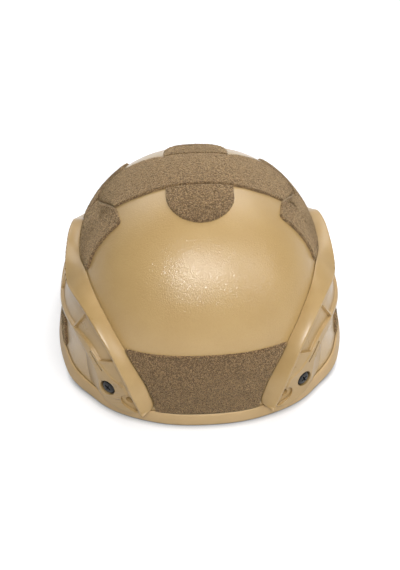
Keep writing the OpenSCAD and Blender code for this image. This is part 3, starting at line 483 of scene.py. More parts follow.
def press_shell(co):
    size = np.linalg.norm(co, axis=1)
    az = np.degrees(np.arctan2(co[:, 0], -co[:, 1]))
    t = np.degrees(np.arcsin(np.clip(co[:, 2] / size, 0, 1))) / 90
    low = np.degrees(np.arctan((rim_z(az) - WALL_Z) / plan_r(az)))
    el = np.radians(mix(low, 90, t))
    c, s, r = np.cos(el), np.sin(el), plan_r(az)
    k = ((c / r) ** DOME_N + (np.maximum(0, s) / DOME_H) ** DOME_N) ** (1 / DOME_N)
    z = np.where(s < 0, WALL_Z + r * np.tan(el), WALL_Z + s / k)
    outer = np.where((s < 0)[:, None], wall_point(az, z), around(c / k + flare(az, z), az, z))
    off = np.where(size > (1 + INNER) / 2, 0.0, -SHELL_T)
    level = level_skin(az, np.minimum(z, 100), off)
    inside = mix(level, skin(outer, off), ramp(z, 45, 30)[:, None])
    return np.where((off < 0)[:, None], inside, outer)


shell = to_object(spun(cup_profile(SHELL_ROWS, INNER), SHELL_COLUMNS), "shell_wall", press_shell)
face_out(shell)
finish_piece(shell, "shell", shell_paint)
print("shell faces:", len(shell.data.polygons))

# %% [markdown]
# ## Edge trim
# A rubber U that grips the rim. Its section is drawn once as (height over the rim, distance from
# the outer face), spun round, and laid along the rim, which rises over the ears.

# %% Make the trim
TRIM_T, TRIM_H, TRIM_FACE, RING_R = 1.9, 9.0, 11.5, 100


def trim_section():
    t, wall, face = TRIM_T, SHELL_T, TRIM_FACE
    outer = [(face, 0.15), (face, t * 0.55), (face - 0.5, t * 0.9), (face - 1.2, t),
             (4.5, t * 1.06), (1.0, t)]
    sole = [(-t * math.sin(a), t * math.cos(a)) for a in np.radians([15, 40, 65, 90])]
    inner = [(h, -wall - off) for h, off in reversed(sole)]
    leg = [(1.0, -wall - t), (TRIM_H - 1.2, -wall - t), (TRIM_H, -wall - t * 0.6),
           (TRIM_H, -wall - 0.1)]
    slot = [(-0.1, -wall - 0.1), (-0.1, 0.15)]
    return outer + sole + inner + leg + slot


def press_trim(co):
    az = np.degrees(np.arctan2(co[:, 0], -co[:, 1]))
    return level_skin(az, rim_z(az) + co[:, 2], np.hypot(co[:, 0], co[:, 1]) - RING_R)


section = trim_section()
ring = spun([(RING_R + off, h) for h, off in section + section[:1]], SHELL_COLUMNS)
trim = face_out(to_object(ring, "rim_trim", press_trim))
finish_piece(trim, "edge_trim", trim_rubber)
print("trim section points:", len(section))

# %% [markdown]
# ## Loop panels
# Panels of loop tape are die-cut and glued on. Each one starts as a flat grid with a vertex for
# about every loop, is doubled into a slab, and is laid on the shell. Seeded jitter lifts the pile,
# and the cut edge is rounded over, because the loops lean outwards there.

# %% Slab of pile
PILE_T, PILE_STEP, PILE_BASE, STRAND_R = 2.2, 0.68, 0.05, 0.1
JITTER, STRAND_SHARE = 0.2, 0.14


def verts_in(geom):
    return [g for g in geom if isinstance(g, bmesh.types.BMVert)]


def grid(columns, rows):
    bm = bmesh.new()
    bmesh.ops.create_grid(bm, x_segments=columns, y_segments=rows, size=1)
    return bm


def thickened(bm, way):
    """Grows flat faces into a closed slab. way is its thickness as a vector."""
    grown = bmesh.ops.extrude_face_region(bm, geom=bm.faces[:], use_keep_orig=True)
    bmesh.ops.translate(bm, verts=verts_in(grown["geom"]), vec=way)


def slab(columns, rows, hole=None):
    """Closed slab over the square from -1 to 1, with z = 1 on its pile side and 0 under it."""
    bm = grid(columns, rows)
    if hole:
        punch(bm, *hole)
    thickened(bm, (0, 0, 1))
    return bm


def punch(bm, centre, radii):
    """Cuts an oval hole in a flat grid, and draws the grid's points to its edge."""
    def share_of(co):
        return Vector(((co.x - centre[0]) / radii[0], (co.y - centre[1]) / radii[1]))
    inside = [f for f in bm.faces if share_of(f.calc_center_median()).length < 1]
    rim = {v for f in inside for v in f.verts if not all(g in inside for g in v.link_faces)}
    bmesh.ops.delete(bm, geom=inside, context="FACES")
    for v in rim:
        at = share_of(v.co).normalized()
        v.co.x, v.co.y = centre[0] + at.x * radii[0], centre[1] + at.y * radii[1]


def pile_panel(name, columns, rows, place, on_crown):
    """place(s, f) gives the place in the chart and the distance to the cut edge, in millimetres."""
    def lay(co):
        a, b, edge = place(co[:, 0], co[:, 1])
        top = co[:, 2] > 0.5
        rise = np.sqrt(1 - np.clip(1 - edge / 1.7, 0, 1) ** 2)
        off = np.where(top, PILE_BASE + 0.35 + (PILE_T - 0.35) * rise, PILE_BASE)
        loft = np.where(top, np.clip(edge / 1.2, 0.15, 1), 0)
        off = off + loft * random.normal(0, JITTER, len(co))
        a = a + np.where(top, random.normal(0, JITTER, len(co)), 0)
        b = b + np.where(top, random.normal(0, JITTER, len(co)), 0)
        on = crown_point(a, b) if on_crown else wall_point(a / CHART, b)
        return skin(on, off)
    panel = face_out(to_object(slab(columns, rows), name, lay))
    bm = bmesh_of(panel.data)
    strands = strand_mesh(panel)
    bm.from_mesh(strands)
    bpy.data.meshes.remove(strands)
    bm.to_mesh(panel.data)
    bm.free()
    shade(panel.data, True)
    return panel


def strand_mesh(panel):
    """Short bent strands, thicker than real ones and fewer. At the cut edge they lean outwards."""
    co, n = points_of(panel.data) / MM, points_of(panel.data, "normal")
    proud = np.flatnonzero(np.sum(n * outward(co), axis=1) > -0.1)
    proud = random.permutation(proud)[:int(len(proud) * STRAND_SHARE)]
    co, n = co[proud], n[proud]
    lean = random.normal(size=co.shape)
    lean = unit(lean - np.sum(lean * n, axis=1, keepdims=True) * n)
    tall, far = (random.uniform(low, 0.7, (len(co), 1)) for low in (0.3, 0.2))
    side, rings = np.cross(n, lean), []
    for at, deep in ((co - 0.3 * n, lean), (co + tall * n + 0.3 * far * lean, (n - lean) * 0.7)):
        rings += [at + STRAND_R * (side * math.cos(a) + deep * math.sin(a))
                  for a in np.radians([0, 120, 240])]
    tips = co + 0.7 * tall * n + far * lean
    verts = np.stack(rings + [tips], axis=1).reshape(-1, 3) * MM
    base = 7 * np.arange(len(co))[:, None]
    quads = np.concatenate([base + q for q in ([0, 1, 4, 3], [1, 2, 5, 4], [2, 0, 3, 5])])
    ends = np.concatenate([base + q for q in ([3, 4, 6], [4, 5, 6], [5, 3, 6])])
    mesh = bpy.data.meshes.new("strands")
    mesh.from_pydata(verts.tolist(), [], quads.tolist() + ends.tolist())
    return mesh


def steps(length):
    return max(6, round(length / PILE_STEP))


# %% [markdown]
# The front and rear panels are strips on the wall, where a place is a length round the helmet and
# a height. The front one ends along the inner edges of the rails.

# %% Front and rear panels
RAIL_EDGE_Z = [19, 24, 31, 42, 52, 61, 72, 82]
RAIL_EDGE_AZ = [20.8, 21, 22, 23.7, 26.2, 29, 32.8, 37.8]
SEAM, PANEL_FOOT, FRONT_HALF_H, REAR_HALF_H = 0.9, 14, 30, 35


def round_end(s, radius):
    drop = (np.maximum(0, np.abs(s) - 0.92) / 0.08) ** 2
    return radius * (1 - np.sqrt(np.maximum(0, 1 - drop)))


def edge_of(s, f, half, half_h):
    """Distance to the cut edge of a panel that s and f cross from -1 to 1."""
    return np.minimum((1 - np.abs(s)) * half, (1 - np.abs(f)) * half_h)


def front_place(s, f):
    z = mix(PANEL_FOOT + round_end(s, 4), 77 - 3 * s * s - round_end(s, 1), (f + 1) / 2)
    half = CHART * np.interp(z, RAIL_EDGE_Z, RAIL_EDGE_AZ) - 0.7 * SEAM
    return s * half, z, edge_of(s, f, half, FRONT_HALF_H)


def rear_place(s, f):
    up = (f + 1) / 2
    z = mix(PANEL_FOOT + round_end(s, 6), 88 - 6 * s * s - round_end(s, 6), up)
    half = mix(66, 60, up)
    return 180 * CHART + s * half, z, edge_of(s, f, half, REAR_HALF_H)


panels = {"front_loop_panel": pile_panel("brow_pile", steps(150), steps(63), front_place, False),
          "rear_loop_panel": pile_panel("nape_pile", steps(132), steps(74), rear_place, False)}

# %% [markdown]
# The crown band runs over the top from side to side, so its place is given in plan, as seen from
# above. Two tongues meet it at fine seams.

# %% Crown band
BAND_END, BAND_HALF = 86.7, 115
BAND_FRONT = [[0, 50, 72, BAND_END], [-8.5, -8, -4, 25]]
BAND_BACK = [[0, 28.5, 36.5, 56, 70, 80, 85, BAND_END], [43, 43, 47, 51, 51.5, 46.5, 41, 32]]


def band_place(s, f):
    x = np.abs(s) * BAND_END
    a = np.interp(x, *BAND_FRONT) + round_end(s, 2)
    b = np.interp(x, *BAND_BACK) - round_end(s, 2)
    return s * BAND_END, mix(a, b, (f + 1) / 2), edge_of(s, f, BAND_HALF, (b - a) / 2)


panels["crown_band_panel"] = pile_panel("crown_band_pile", steps(232), steps(52), band_place, True)

# %% [markdown]
# The other panels have free outlines. Seen from its middle, each outline is a distance for every
# direction, so a square grid can be pushed out to it ring by ring.

# %% Panels with free outlines


def cut_corners(points, cut, rounds=2):
    """Rounds an outline by cutting its corners, a bit more each time."""
    p = np.array(points, float)
    for _ in range(rounds):
        q = np.roll(p, -1, axis=0)
        length = np.linalg.norm(q - p, axis=1, keepdims=True)
        f = np.minimum(0.3, cut / length)
        p = np.stack([p + (q - p) * f, q - (q - p) * f], axis=1).reshape(-1, 2)
        cut *= 0.45
    return p


def outline_place(points):
    p = np.array(points, float)
    middle = (p.min(axis=0) + p.max(axis=0)) / 2
    q = np.concatenate([mix(p, np.roll(p, -1, axis=0), t) for t in np.arange(0, 1, 0.1)]) - middle
    angle = np.degrees(np.arctan2(q[:, 1], q[:, 0]))
    order = np.argsort(angle)
    angle, reach = angle[order], np.hypot(q[:, 0], q[:, 1])[order]

    def place(s, f):
        rho, theta = np.maximum(np.abs(s), np.abs(f)), np.arctan2(f, s)
        r = np.interp(np.degrees(theta), angle, reach, period=360)
        reach_out = rho * r
        return (middle[0] + reach_out * np.cos(theta), middle[1] + reach_out * np.sin(theta),
                r - reach_out)
    return place


def tongue(y0, tip, half=28.5):
    way = 1 if tip > y0 else -1
    bow = [[half * math.cos(a), tip - way * half * (1 - math.sin(a))]
           for a in np.radians(range(0, 181, 9))]
    return [[half, y0]] + bow + [[-half, y0]]


side_cut = cut_corners([[71.1, -6.2], [67, -27.5], [76.5, -29.5], [84, -31.3], [92, -34.3],
                        [98, -42], [104.3, -17.6], [105.8, 0.3], [104.8, 18], [103.6, 32.6],
                        [88.8, 32.5], [87.6, 24], [72.9, -5]], 2)
rear_side_cut = cut_corners([[89.2, 33.8], [103.6, 33.8], [103.8, 54.7], [78, 88], [60, 92],
                             [64, 72], [65.5, 54.6], [80.6, 48.1], [86, 42.1]], 3)
U0, U1, EAR_Z = 68 * CHART, 113 * CHART, RIM_BASE + EAR_LIFT + TRIM_FACE + 0.8
ear_cut = cut_corners([[U0 + 3, EAR_Z], [U1, EAR_Z], [U1 - 6, 36], [U1 - 12, 43],
                       [(U0 + U1) / 2, 41], [U0 + 31, 40.5], [U0 + 19, 37], [U0 + 11.5, 31.5],
                       [U0 + 2, EAR_Z + 5]], 3)
FREE_CUTS = [("crown_front_tongue_panel", "front_tongue_pile", tongue(-8.5 - SEAM, -48), 60, 48),
             ("crown_rear_tongue_panel", "rear_tongue_pile", tongue(43 + SEAM, 82), 60, 48),
             ("left_side_loop_panel", "left_side_pile", side_cut, 62, 49.6),
             ("left_rear_side_loop_panel", "left_rear_side_pile", rear_side_cut, 58, 46.4),
             ("left_ear_loop_panel", "left_ear_pile", ear_cut, 94, 26)]
for node, name, outline, length, width in FREE_CUTS:
    panels[node] = pile_panel(name, steps(length), steps(width), outline_place(outline),
                              node != "left_ear_loop_panel")
    if node.startswith("left_"):
        panels[right_of(node)] = other_side(panels[node], right_of(name))
for node, panel in panels.items():
    finish_piece(panel, node, loop_brown)
print("pile panels:", len(panels), "faces:", sum(len(p.data.polygons) for p in panels.values()))

# %% [markdown]
# ## Rails and hard parts
# The solids of the moulded and machined parts already have the right shape. A copy of each is
# welded, its edges get the small radius that a mould leaves, and curved faces are shaded smooth
# while real corners stay crisp.

# %% Welded copies with softened edges


def hard_piece(node, name, material, edge=0.3, corner=32):
    bm = bmesh_of(frame["nodes"][node].data, WELD)
    finish_piece(softened(bm, name, edge, corner), node, material)


def softened(bm, name, edge, corner):
    """Rounds the edges of a bmesh that are sharper than corner, and makes an object of it."""
    if edge:
        bevel(bm, corner, edge * MM)
    for e in bm.edges:
        e.smooth = not e.is_manifold or e.calc_face_angle() < math.radians(corner)
    piece = to_object(bm, name)
    flat = piece.modifiers.new("flat faces", "WEIGHTED_NORMAL")
    flat.keep_sharp = True
    return piece


def bevel(bm, corner, size):
    sharp = [e for e in bm.edges if e.is_manifold and e.calc_face_angle() > math.radians(corner)]
    bmesh.ops.bevel(bm, geom=sharp, offset=size, segments=2, profile=0.5, affect="EDGES",
                    clamp_overlap=True, material=-1)


for side in ("left", "right"):
    for end in ("front", "rear"):
        hard_piece(f"{side}_{end}_rail_screw", f"{side}_{end}_pan_screw",
                   black_steel, edge=0.2)
    hard_piece(f"{side}_rail_nuts", f"{side}_flange_nuts", zinc_steel, edge=0.2)
    for part, name, edge in (("arm", "band_arm", 0.2), ("arm_guide", "band_guide", 0.3),
                             ("junction", "strap_junction", 0.3)):
        hard_piece(f"{side}_{part}", f"{side}_{name}", black_nylon, edge)
for node, name, slot in (("dial_housing", "dial_case", "band_polymer"),
                         ("dial_hanger", "dial_strap", "band_polymer"),
                         ("dial_knob", "dial_grip", "band_polymer"),
                         ("buckle_socket", "buckle_female", "buckle_polymer"),
                         ("buckle_plug", "buckle_male", "buckle_polymer")):
    hard_piece(node, name, black_nylon)
hard_piece("pad_hook_discs", "hook_discs", black_nylon, edge=0)

# %% [markdown]
# ## Rails
# A rail is moulded in one piece: a flange that stands off the shell, pockets between thin ribs, and
# a sloping bank outside them. Control rows give its cross-section along the helmet. A smooth curve
# goes through the rows and a skin over the sections, as a loft is made. The flange's inner face is
# a little full, so that a light draws a long streak on it. Every corner has a mould's radius.

# %% Rail sections
RAIL_ROWS = np.array([
    [20.8, 19, 29.5, 10, 7, 14], [21, 24, 32.5, 9.5, 7.4, 12.4], [22, 31, 41.5, 12.4, 8, 12],
    [23.7, 42, 48, 17.5, 8.5, 12], [26.2, 52, 50.3, 26, 7, 12], [29, 61, 51.5, 37, 6, 12],
    [32.8, 72, 52.5, 47.5, 5, 12], [37.8, 82, 53.8, 54.8, 4.5, 12], [45, 93, 57, 58, 5.5, 12],
    [53, 100, 62, 59, 7.5, 12], [61, 104, 69, 56, 12, 12], [69.2, 105.6, 77, 52, 15.5, 12],
    [80.5, 101.9, 84, 48.5, 7.5, 12], [90.2, 100.1, 91, 47, 3.5, 12],
    [99.7, 101.1, 98, 47.5, 2.5, 12], [109.2, 99.6, 104, 48.5, 3, 10.5],
    [117.6, 89.3, 109, 47, 3.5, 8.5], [125, 78.8, 113.5, 43, 4, 8], [131, 70, 117, 37, 5, 8.5],
    [134, 56, 119.5, 30, 3, 8.5], [135.5, 44, 122, 24, 3, 8.5], [136, 34, 126, 20, 3, 8.5],
    [135, 26, 130.5, 20, 1, 7.5]])
RAIL_HIGH, RAIL_LOW, FACE_HIGH, FLANGE_T, RAIL_SEAT, RAIL_FULL = 7.0, 4.0, 6.2, 2.6, 0.25, 0.5
POCKETS = [(1.5, 5.42, FACE_HIGH), (5.58, 8.69, RAIL_LOW), (8.83, 12.73, RAIL_LOW),
           (12.87, 16.33, RAIL_LOW), (16.47, 18.6, RAIL_LOW)]
LAST_ROW = len(RAIL_ROWS) - 1

def rail_row(t):
    """Row at a place t between the control rows, on a smooth curve through them."""
    i = min(LAST_ROW - 1, int(t))
    a, b, c, d = (RAIL_ROWS[int(np.clip(j, 0, LAST_ROW))] for j in range(i - 1, i + 3))
    f = t - i
    return 0.5 * (2 * b + (c - a) * f + (2 * a - 5 * b + 4 * c - d) * f ** 2
                  + (3 * b - a - 3 * c + d) * f ** 3)


def rail_chart(t, s):
    """Azimuth and height at a distance s from the inner edge, and the rail's width."""
    row = rail_row(t)
    inner, outer = wall_point(row[[0, 2]], row[[1, 3]])
    width = np.linalg.norm(outer - inner)
    f = np.asarray(s, float) / width
    return mix(row[0], row[2], f), mix(row[1], row[3], f), width


def rail_seat(t, s):
    az, z, _ = rail_chart(t, s)
    return RAIL_SEAT + (TRIM_T + 0.1) * (1 - ramp(z - rim_z(az) - TRIM_FACE - 0.5, 0, 2))


def rail_section(t):
    row, width = rail_row(t), rail_chart(t, 0)[2]
    g, crest = min(1, width / 26), row[5]
    lean = row[4] * g
    floor_h = next((h for a, b, h in POCKETS if a + 0.01 < t < b - 0.01), RAIL_HIGH - 0.4)
    foot, bank = lean + (FLANGE_T + 1.3) * g, 18 * ramp(7.6 - t, 0, 3.2) * ramp(t - 0.8, 0, 3.2)
    edge, late = width - (1.3 + bank) * g, max(0, 8.6 - t)
    lip = max(foot + 5 * g, width - (5.6 + 4 * late * (1 + 0.17 * late)) * g)
    bank_h = mix(RAIL_HIGH - 1.4, 1.8, min(1, bank / 8))
    start, stop = np.array([0.2, rail_seat(t, 0) + 1.2]), np.array([lean, crest - 0.9])
    way = stop - start
    bulge = unit(np.array([-way[1], way[0]])) * RAIL_FULL
    face = [mix(start, stop, f) + bulge * 4 * f * (1 - f) for f in np.linspace(0, 1, 7)]
    chain = [[0, rail_seat(t, 0)]] + face + [
        [lean + 0.8 * g, crest], [lean + FLANGE_T * g, crest - 0.15],
        [lean + (FLANGE_T + 0.7) * g, crest - 1.1], [lean + (FLANGE_T + 0.9) * g, floor_h + 0.5],
        [foot, floor_h], [mix(foot, lip, 0.5), floor_h], [lip, floor_h],
        [min(lip + 0.8 * g, edge - 0.5 * g), RAIL_HIGH], [edge, RAIL_HIGH],
        [width - 0.2 * g, bank_h], [width, rail_seat(t, width)]]
    under = [[f * width, rail_seat(t, f * width)] for f in (0.8, 0.6, 0.4, 0.2)]
    s, off = cut_corners(chain + under, 0.45).T
    az, z, _ = rail_chart(t, s)
    if t < 1:  # the crest is turned back from the rail's front tip
        far = np.clip((off - 3) / (crest - 3), 0, 1) * (s < foot - 0.1)
        az_in, z_in, _ = rail_chart(t + 0.5 * (1 - t), s)
        az, z = mix(az, az_in, far), mix(z, z_in, far)
    return skin(wall_point(az, z), off)


# %% Rail body
rib_edges = {t for a, b, _ in POCKETS for t in (a, a + 0.06, b - 0.06, b)}
rail_stops = sorted({round(float(t), 3) for t in np.arange(0, LAST_ROW + 0.1, 0.1)} | rib_edges)
rail_rings = np.array([rail_section(t) for t in rail_stops])
ring_n, ring_size = rail_rings.shape[:2]


def lay_rail(co):
    i = np.rint((co[:, 0] + 1) / 2 * (ring_n - 1)).astype(int)
    j = np.rint((co[:, 1] + 1) / 2 * ring_size).astype(int) % ring_size
    return rail_rings[i, j]


rail = to_object(grid(ring_n - 1, ring_size), "left_moulded_rail", lay_rail)
bm = bmesh_of(rail.data, WELD)
bmesh.ops.holes_fill(bm, edges=[e for e in bm.edges if e.is_boundary], sides=0)
bmesh.ops.recalc_face_normals(bm, faces=bm.faces)
bm.to_mesh(rail.data)
print("rail rings:", ring_n, "of", ring_size, "points; open edges:",
      sum(not e.is_manifold for e in bm.edges))
bm.free()

# %% [markdown]
# The holes are cut as a drill and an end mill would: stepped cutters stand square on the wall, a
# slot cutter makes the slit, and a row of small blocks the serrations on the flange's outer edge.

# %% Cut the rail
HEAD_R, SHANK_R, HOLE_R, RECESS_R, HEAD_FLOOR, RECESS_FLOOR = 7.55, 2.75, 3.5, 7.5, 3.0, 4.2
FRONT_SCREW, REAR_SCREW, FRONT_HOLE, REAR_HOLE = (38.4, 30), (129, 36), (29.8, 24), (131.5, 52)
INSIDE, OUTSIDE, ROUND = -30, 34, 48


def wall_frame(az, z):
    p = wall_point(np.array([az]), np.array([z]))
    n = outward(p)[0]
    around_z = Matrix.Rotation(math.atan2(n[1], n[0]), 4, "Z")
    return Matrix.Translation(p[0]) @ around_z @ Matrix.Rotation(math.acos(n[2]), 4, "Y")


def cut(target, bm, place):
    bmesh.ops.transform(bm, matrix=place, verts=bm.verts)
    cutter = to_object(bm, "cutter", lambda co: co)
    step = target.modifiers.new("cut", "BOOLEAN")
    step.operation, step.solver, step.object = "DIFFERENCE", "EXACT", cutter
    kept_shape(target)
    bpy.data.objects.remove(cutter)


def kept_shape(obj):
    """Makes what the modifiers show the object's own mesh."""
    shown = obj.evaluated_get(bpy.context.evaluated_depsgraph_get())
    mesh = bpy.data.meshes.new_from_object(shown)
    obj.modifiers.clear()
    obj.data = mesh


for spot, low, floor_h, wide in (
        (FRONT_SCREW, SHANK_R, HEAD_FLOOR, HEAD_R), (REAR_SCREW, SHANK_R, HEAD_FLOOR, HEAD_R),
        (REAR_HOLE, HOLE_R, RECESS_FLOOR, RECESS_R), (FRONT_HOLE, HOLE_R, None, HOLE_R)):
    step = [(low, floor_h), (wide, floor_h)] if floor_h else []
    drill = [(0, INSIDE), (low, INSIDE)] + step + [(wide, OUTSIDE), (0, OUTSIDE)]
    cut(rail, spun(drill, ROUND), wall_frame(*spot))
bm = bmesh.new()  # the front hole's recess, drawn out towards the tip
for r, x, y in ((RECESS_R, 0, 0), (2.5, 8, -6)):
    for h in (RECESS_FLOOR, OUTSIDE):
        bmesh.ops.create_circle(bm, segments=ROUND, radius=r, matrix=Matrix.Translation((x, y, h)))
hull = bmesh.ops.convex_hull(bm, input=bm.verts)
bmesh.ops.delete(bm, geom=verts_in(set(hull["geom_interior"])), context="VERTS")
cut(rail, bm, wall_frame(*FRONT_HOLE))
bm = bmesh.new()  # the slit
bmesh.ops.create_cube(bm, size=1, matrix=Matrix.Diagonal((20, 1.8, 56, 1)))
cut(rail, bm, wall_frame(44, 51.8) @ Matrix.Rotation(math.radians(-53), 4, "Z"))
bm = bmesh.new()  # the serrations above the ear
for t in np.linspace(11, 15, 14):
    row = rail_row(t)
    az, z, _ = rail_chart(t, row[4] + FLANGE_T)
    at = skin(wall_point(az, z), row[5])
    turn = Matrix.Rotation(math.atan2(at[0], MIDDLE_Y - at[1]), 4, "Z")
    bmesh.ops.create_cube(bm, size=1,
                          matrix=Matrix.Translation(at) @ turn @ Matrix.Diagonal((2.4, 4, 4, 1)))
cut(rail, bm, Matrix.Identity(4))
bm = bmesh_of(rail.data, WELD)
bpy.data.objects.remove(rail)
rail = softened(bm, "left_moulded_rail", 0.2, 40)
both_sides(rail, "left_rail", rail_nylon)
print("rail faces:", len(rail.data.polygons))

# %% [markdown]
# ## Liner pads
# A liner pad is slow foam in a knitted cover, sewn round its edge. A filled cover is fullest in its
# middle and pulls in at its seam, which cloth simulation gives. A copy of the solid is remeshed
# evenly, shrunk a little and blown up, with a limit on how far a point may go. The flat back stays
# on the hook discs. The seam comes last, because remeshing would lose it.

# %% Cloth helpers
VOXEL, SHRINK, TRAVEL, PRESSURE, TICKS = 4.0, 1.2, 2.2, 4.0, 20


def blown_up(obj, loose):
    """Blows up a closed cover. loose is how free each point is, from 0 to 1."""
    start = points_of(obj.data)
    set_points(obj.data, start - points_of(obj.data, "normal") * (SHRINK * MM * loose)[:, None])
    small = points_of(obj.data)
    cover = obj.modifiers.new("cover", "CLOTH")
    cover.settings.use_pressure = True
    cover.settings.uniform_pressure_force = PRESSURE
    cover.settings.effector_weights.gravity = 0
    cover.point_cache.frame_end = TICKS
    for tick in range(1, TICKS + 1):
        bpy.context.scene.frame_set(tick)
    kept_shape(obj)
    bpy.context.scene.frame_set(1)
    move = points_of(obj.data) - small
    far = np.linalg.norm(move, axis=1, keepdims=True)
    move *= np.minimum(1, TRAVEL * MM / np.maximum(far, 1e-9)) * loose[:, None]
    set_points(obj.data, small + move)


# %% Foam pads


def out_of_shell(co):
    return outward(co / MM)


BAND_TILT, SEAM_SHARE, SEAM_DEEP, SEAM_WIDE = math.radians(8.9), 0.32, 0.9, 1.1


def out_of_nape(co):
    return np.broadcast_to([0, math.cos(BAND_TILT), -math.sin(BAND_TILT)], co.shape)


def foam_pad(node, name, back_way):
    pad = to_object(bmesh_of(frame["nodes"][node].data, WELD), name)
    even = pad.modifiers.new("even", "REMESH")
    even.mode, even.voxel_size = "VOXEL", VOXEL * MM
    kept_shape(pad)
    facing = np.sum(points_of(pad.data, "normal") * back_way(points_of(pad.data)), axis=1)
    loose = 1 - ramp(facing, 0.35, 0.4)
    blown_up(pad, loose)
    fine = pad.modifiers.new("fine", "SUBSURF")
    fine.levels = fine.render_levels = 2
    kept_shape(pad)
    co, n = points_of(pad.data), points_of(pad.data, "normal")
    deep = seam_depth(co, n, back_way(co))
    set_points(pad.data, co - n * deep[:, None])
    shade(pad.data, True)
    return finish_piece(pad, node, pad_tricot)


def seam_depth(co, n, way):
    """A sewn groove round the sides, at a share of the thickness in front of the back."""
    facing = np.sum(n * way, axis=1)
    height = np.sum((co - co[facing > 0.8].mean(axis=0)) * way, axis=1)
    thick = height[facing > 0.8].mean() - height[facing < -0.8].mean()
    side = 1 - ramp(np.abs(facing), 0.45, 0.35)
    near = np.exp(-((height + SEAM_SHARE * thick) / (SEAM_WIDE * MM)) ** 2)
    return SEAM_DEEP * MM * side * near


for node in ("crown_pad", "front_pad", "rear_pad", "left_front_side_pad", "left_rear_side_pad",
             "nape_pad"):
    back_way = out_of_nape if node == "nape_pad" else out_of_shell
    pad = foam_pad(node, node.replace("_pad", "_cushion"), back_way)
    if node.startswith("left_"):
        twin = other_side(pad, right_of(pad.name))
        finish_piece(twin, right_of(node), pad_tricot)
    print(node, "faces:", len(pad.data.polygons))

# %% [markdown]
# ## Webbing
# Webbing is woven flat and hardly stretches, so it isn't simulated. A strip gets its UV map while
# it is flat, then its points are laid along the strap's path. Its selvedges are thinner than its
# middle.

# %% Flat strip of webbing
WEB_W, WEB_T = 19.0, 1.8


def web_strip(name, length, lay, hole=None):
    """lay(u, v, h) places points by length, width and height over the strip's middle."""
    if hole:
        hole = ((2 * hole[0] / length, 0), (2 * hole[1] / length, 2 * hole[1] / WEB_W))
    bm = slab(round(length / 1.5), 14, hole)
    flat = bm.loops.layers.uv.new("flat")
    for face in bm.faces:
        for corner in face.loops:
            corner[flat].uv = (corner.vert.co.x * length / 2, corner.vert.co.y * WEB_W / 2)

    def shape(co):
        u, v = co[:, 0] * length / 2, co[:, 1] * WEB_W / 2
        thin = 1 - 0.5 * ramp(np.abs(v), WEB_W / 2 - 1.6, 1.6)
        return lay(u, v, (co[:, 2] - 0.5) * WEB_T * thin)
    return face_out(to_object(bm, name, shape))


# %% [markdown]
# The side straps lie flat on the inside of the shell. In the wall's chart each is a straight line
# from its rail screw to the junction beside the ear, and a hole takes the screw.

# %% Side straps
JUNCTION_U, JUNCTION_Z, STRAP_STOP, WEB_MID = 88 * CHART, 29.0, 13.6, -8.8
STRAP_TAIL, SCREW_EYE = 10, 3.2


def side_strap(node, name, screw, sense):
    screw_at = np.array([screw[0] * CHART, screw[1]])
    end = np.array([JUNCTION_U - sense * STRAP_STOP, JUNCTION_Z])
    way = unit(end - screw_at)
    start = screw_at - way * STRAP_TAIL
    length, across = np.linalg.norm(end - start), np.array([-way[1], way[0]])

    def lay(u, v, h):
        q = start + (u + length / 2)[:, None] * way + v[:, None] * across
        return skin(wall_point(q[:, 0] / CHART, q[:, 1]), WEB_MID + h)
    strap = web_strip(name, length, lay, hole=(STRAP_TAIL - length / 2, SCREW_EYE))
    both_sides(strap, node, tan_webbing)
    print(name, "length", round(float(length)), "mm")


side_strap("left_front_strap", "left_front_web", FRONT_SCREW, 1)
side_strap("left_rear_strap", "left_rear_web", REAR_SCREW, -1)

# %% [markdown]
# The chin straps stand on edge and lie in one plane that drops from the pivots to the front. Each
# path is a line with rounded corners; the strap is laid along it by its length.

# %% Chin strap paths
PIVOT_Y, PIVOT_Z, STOW = -14.5143, 27.1494, math.radians(6.0333)
CHIN_X, CHIN_CORNER, CHIN_FRONT = 110.576, np.array([110.576, -26.0]), np.array([58.0, -88.0])
CHIN_WAY = unit(CHIN_FRONT - CHIN_CORNER)
BEND_R = 14.0


def chin_frame(x, y, z):
    return np.stack([x, PIVOT_Y + y * math.cos(STOW) - z * math.sin(STOW),
                     PIVOT_Z + y * math.sin(STOW) + z * math.cos(STOW)], axis=-1)


def bent_path(corners, radius):
    """Points along a line whose inner corners are arcs."""
    p = [np.array(c, float) for c in corners]
    path = [p[0]]
    for a, b, c in zip(p, p[1:], p[2:]):
        to_a, to_c = unit(a - b), unit(c - b)
        half = math.acos(float(np.dot(to_a, to_c))) / 2
        start, end = (b + way * radius / math.tan(half) for way in (to_a, to_c))
        middle = b + unit(to_a + to_c) * radius / math.sin(half)
        path += [middle + unit(mix(start - middle, end - middle, t)) * radius
                 for t in np.linspace(0, 1, 12)]
    return np.array(path + [p[-1]])


def chin_web(name, node, corners):
    path = bent_path(corners, BEND_R)
    along = np.concatenate([[0], np.cumsum(np.linalg.norm(np.diff(path, axis=0), axis=1))])
    length = along[-1]

    def lay(u, v, h):
        d = u + length / 2
        x, y = np.interp(d, along, path[:, 0]), np.interp(d, along, path[:, 1])
        step = [np.interp(d + 1, along, path[:, k]) - np.interp(d - 1, along, path[:, k])
                for k in (0, 1)]
        size = np.hypot(*step)
        return chin_frame(x - step[1] / size * h, y + step[0] / size * h, v)
    finish_piece(web_strip(name, length, lay), node, tan_webbing)
    print(name, "length", round(length), "mm")


# %% Chin straps and their end fittings
EYE_T, EYE_R, PIN_R = 3.0, 7.0, 3.05


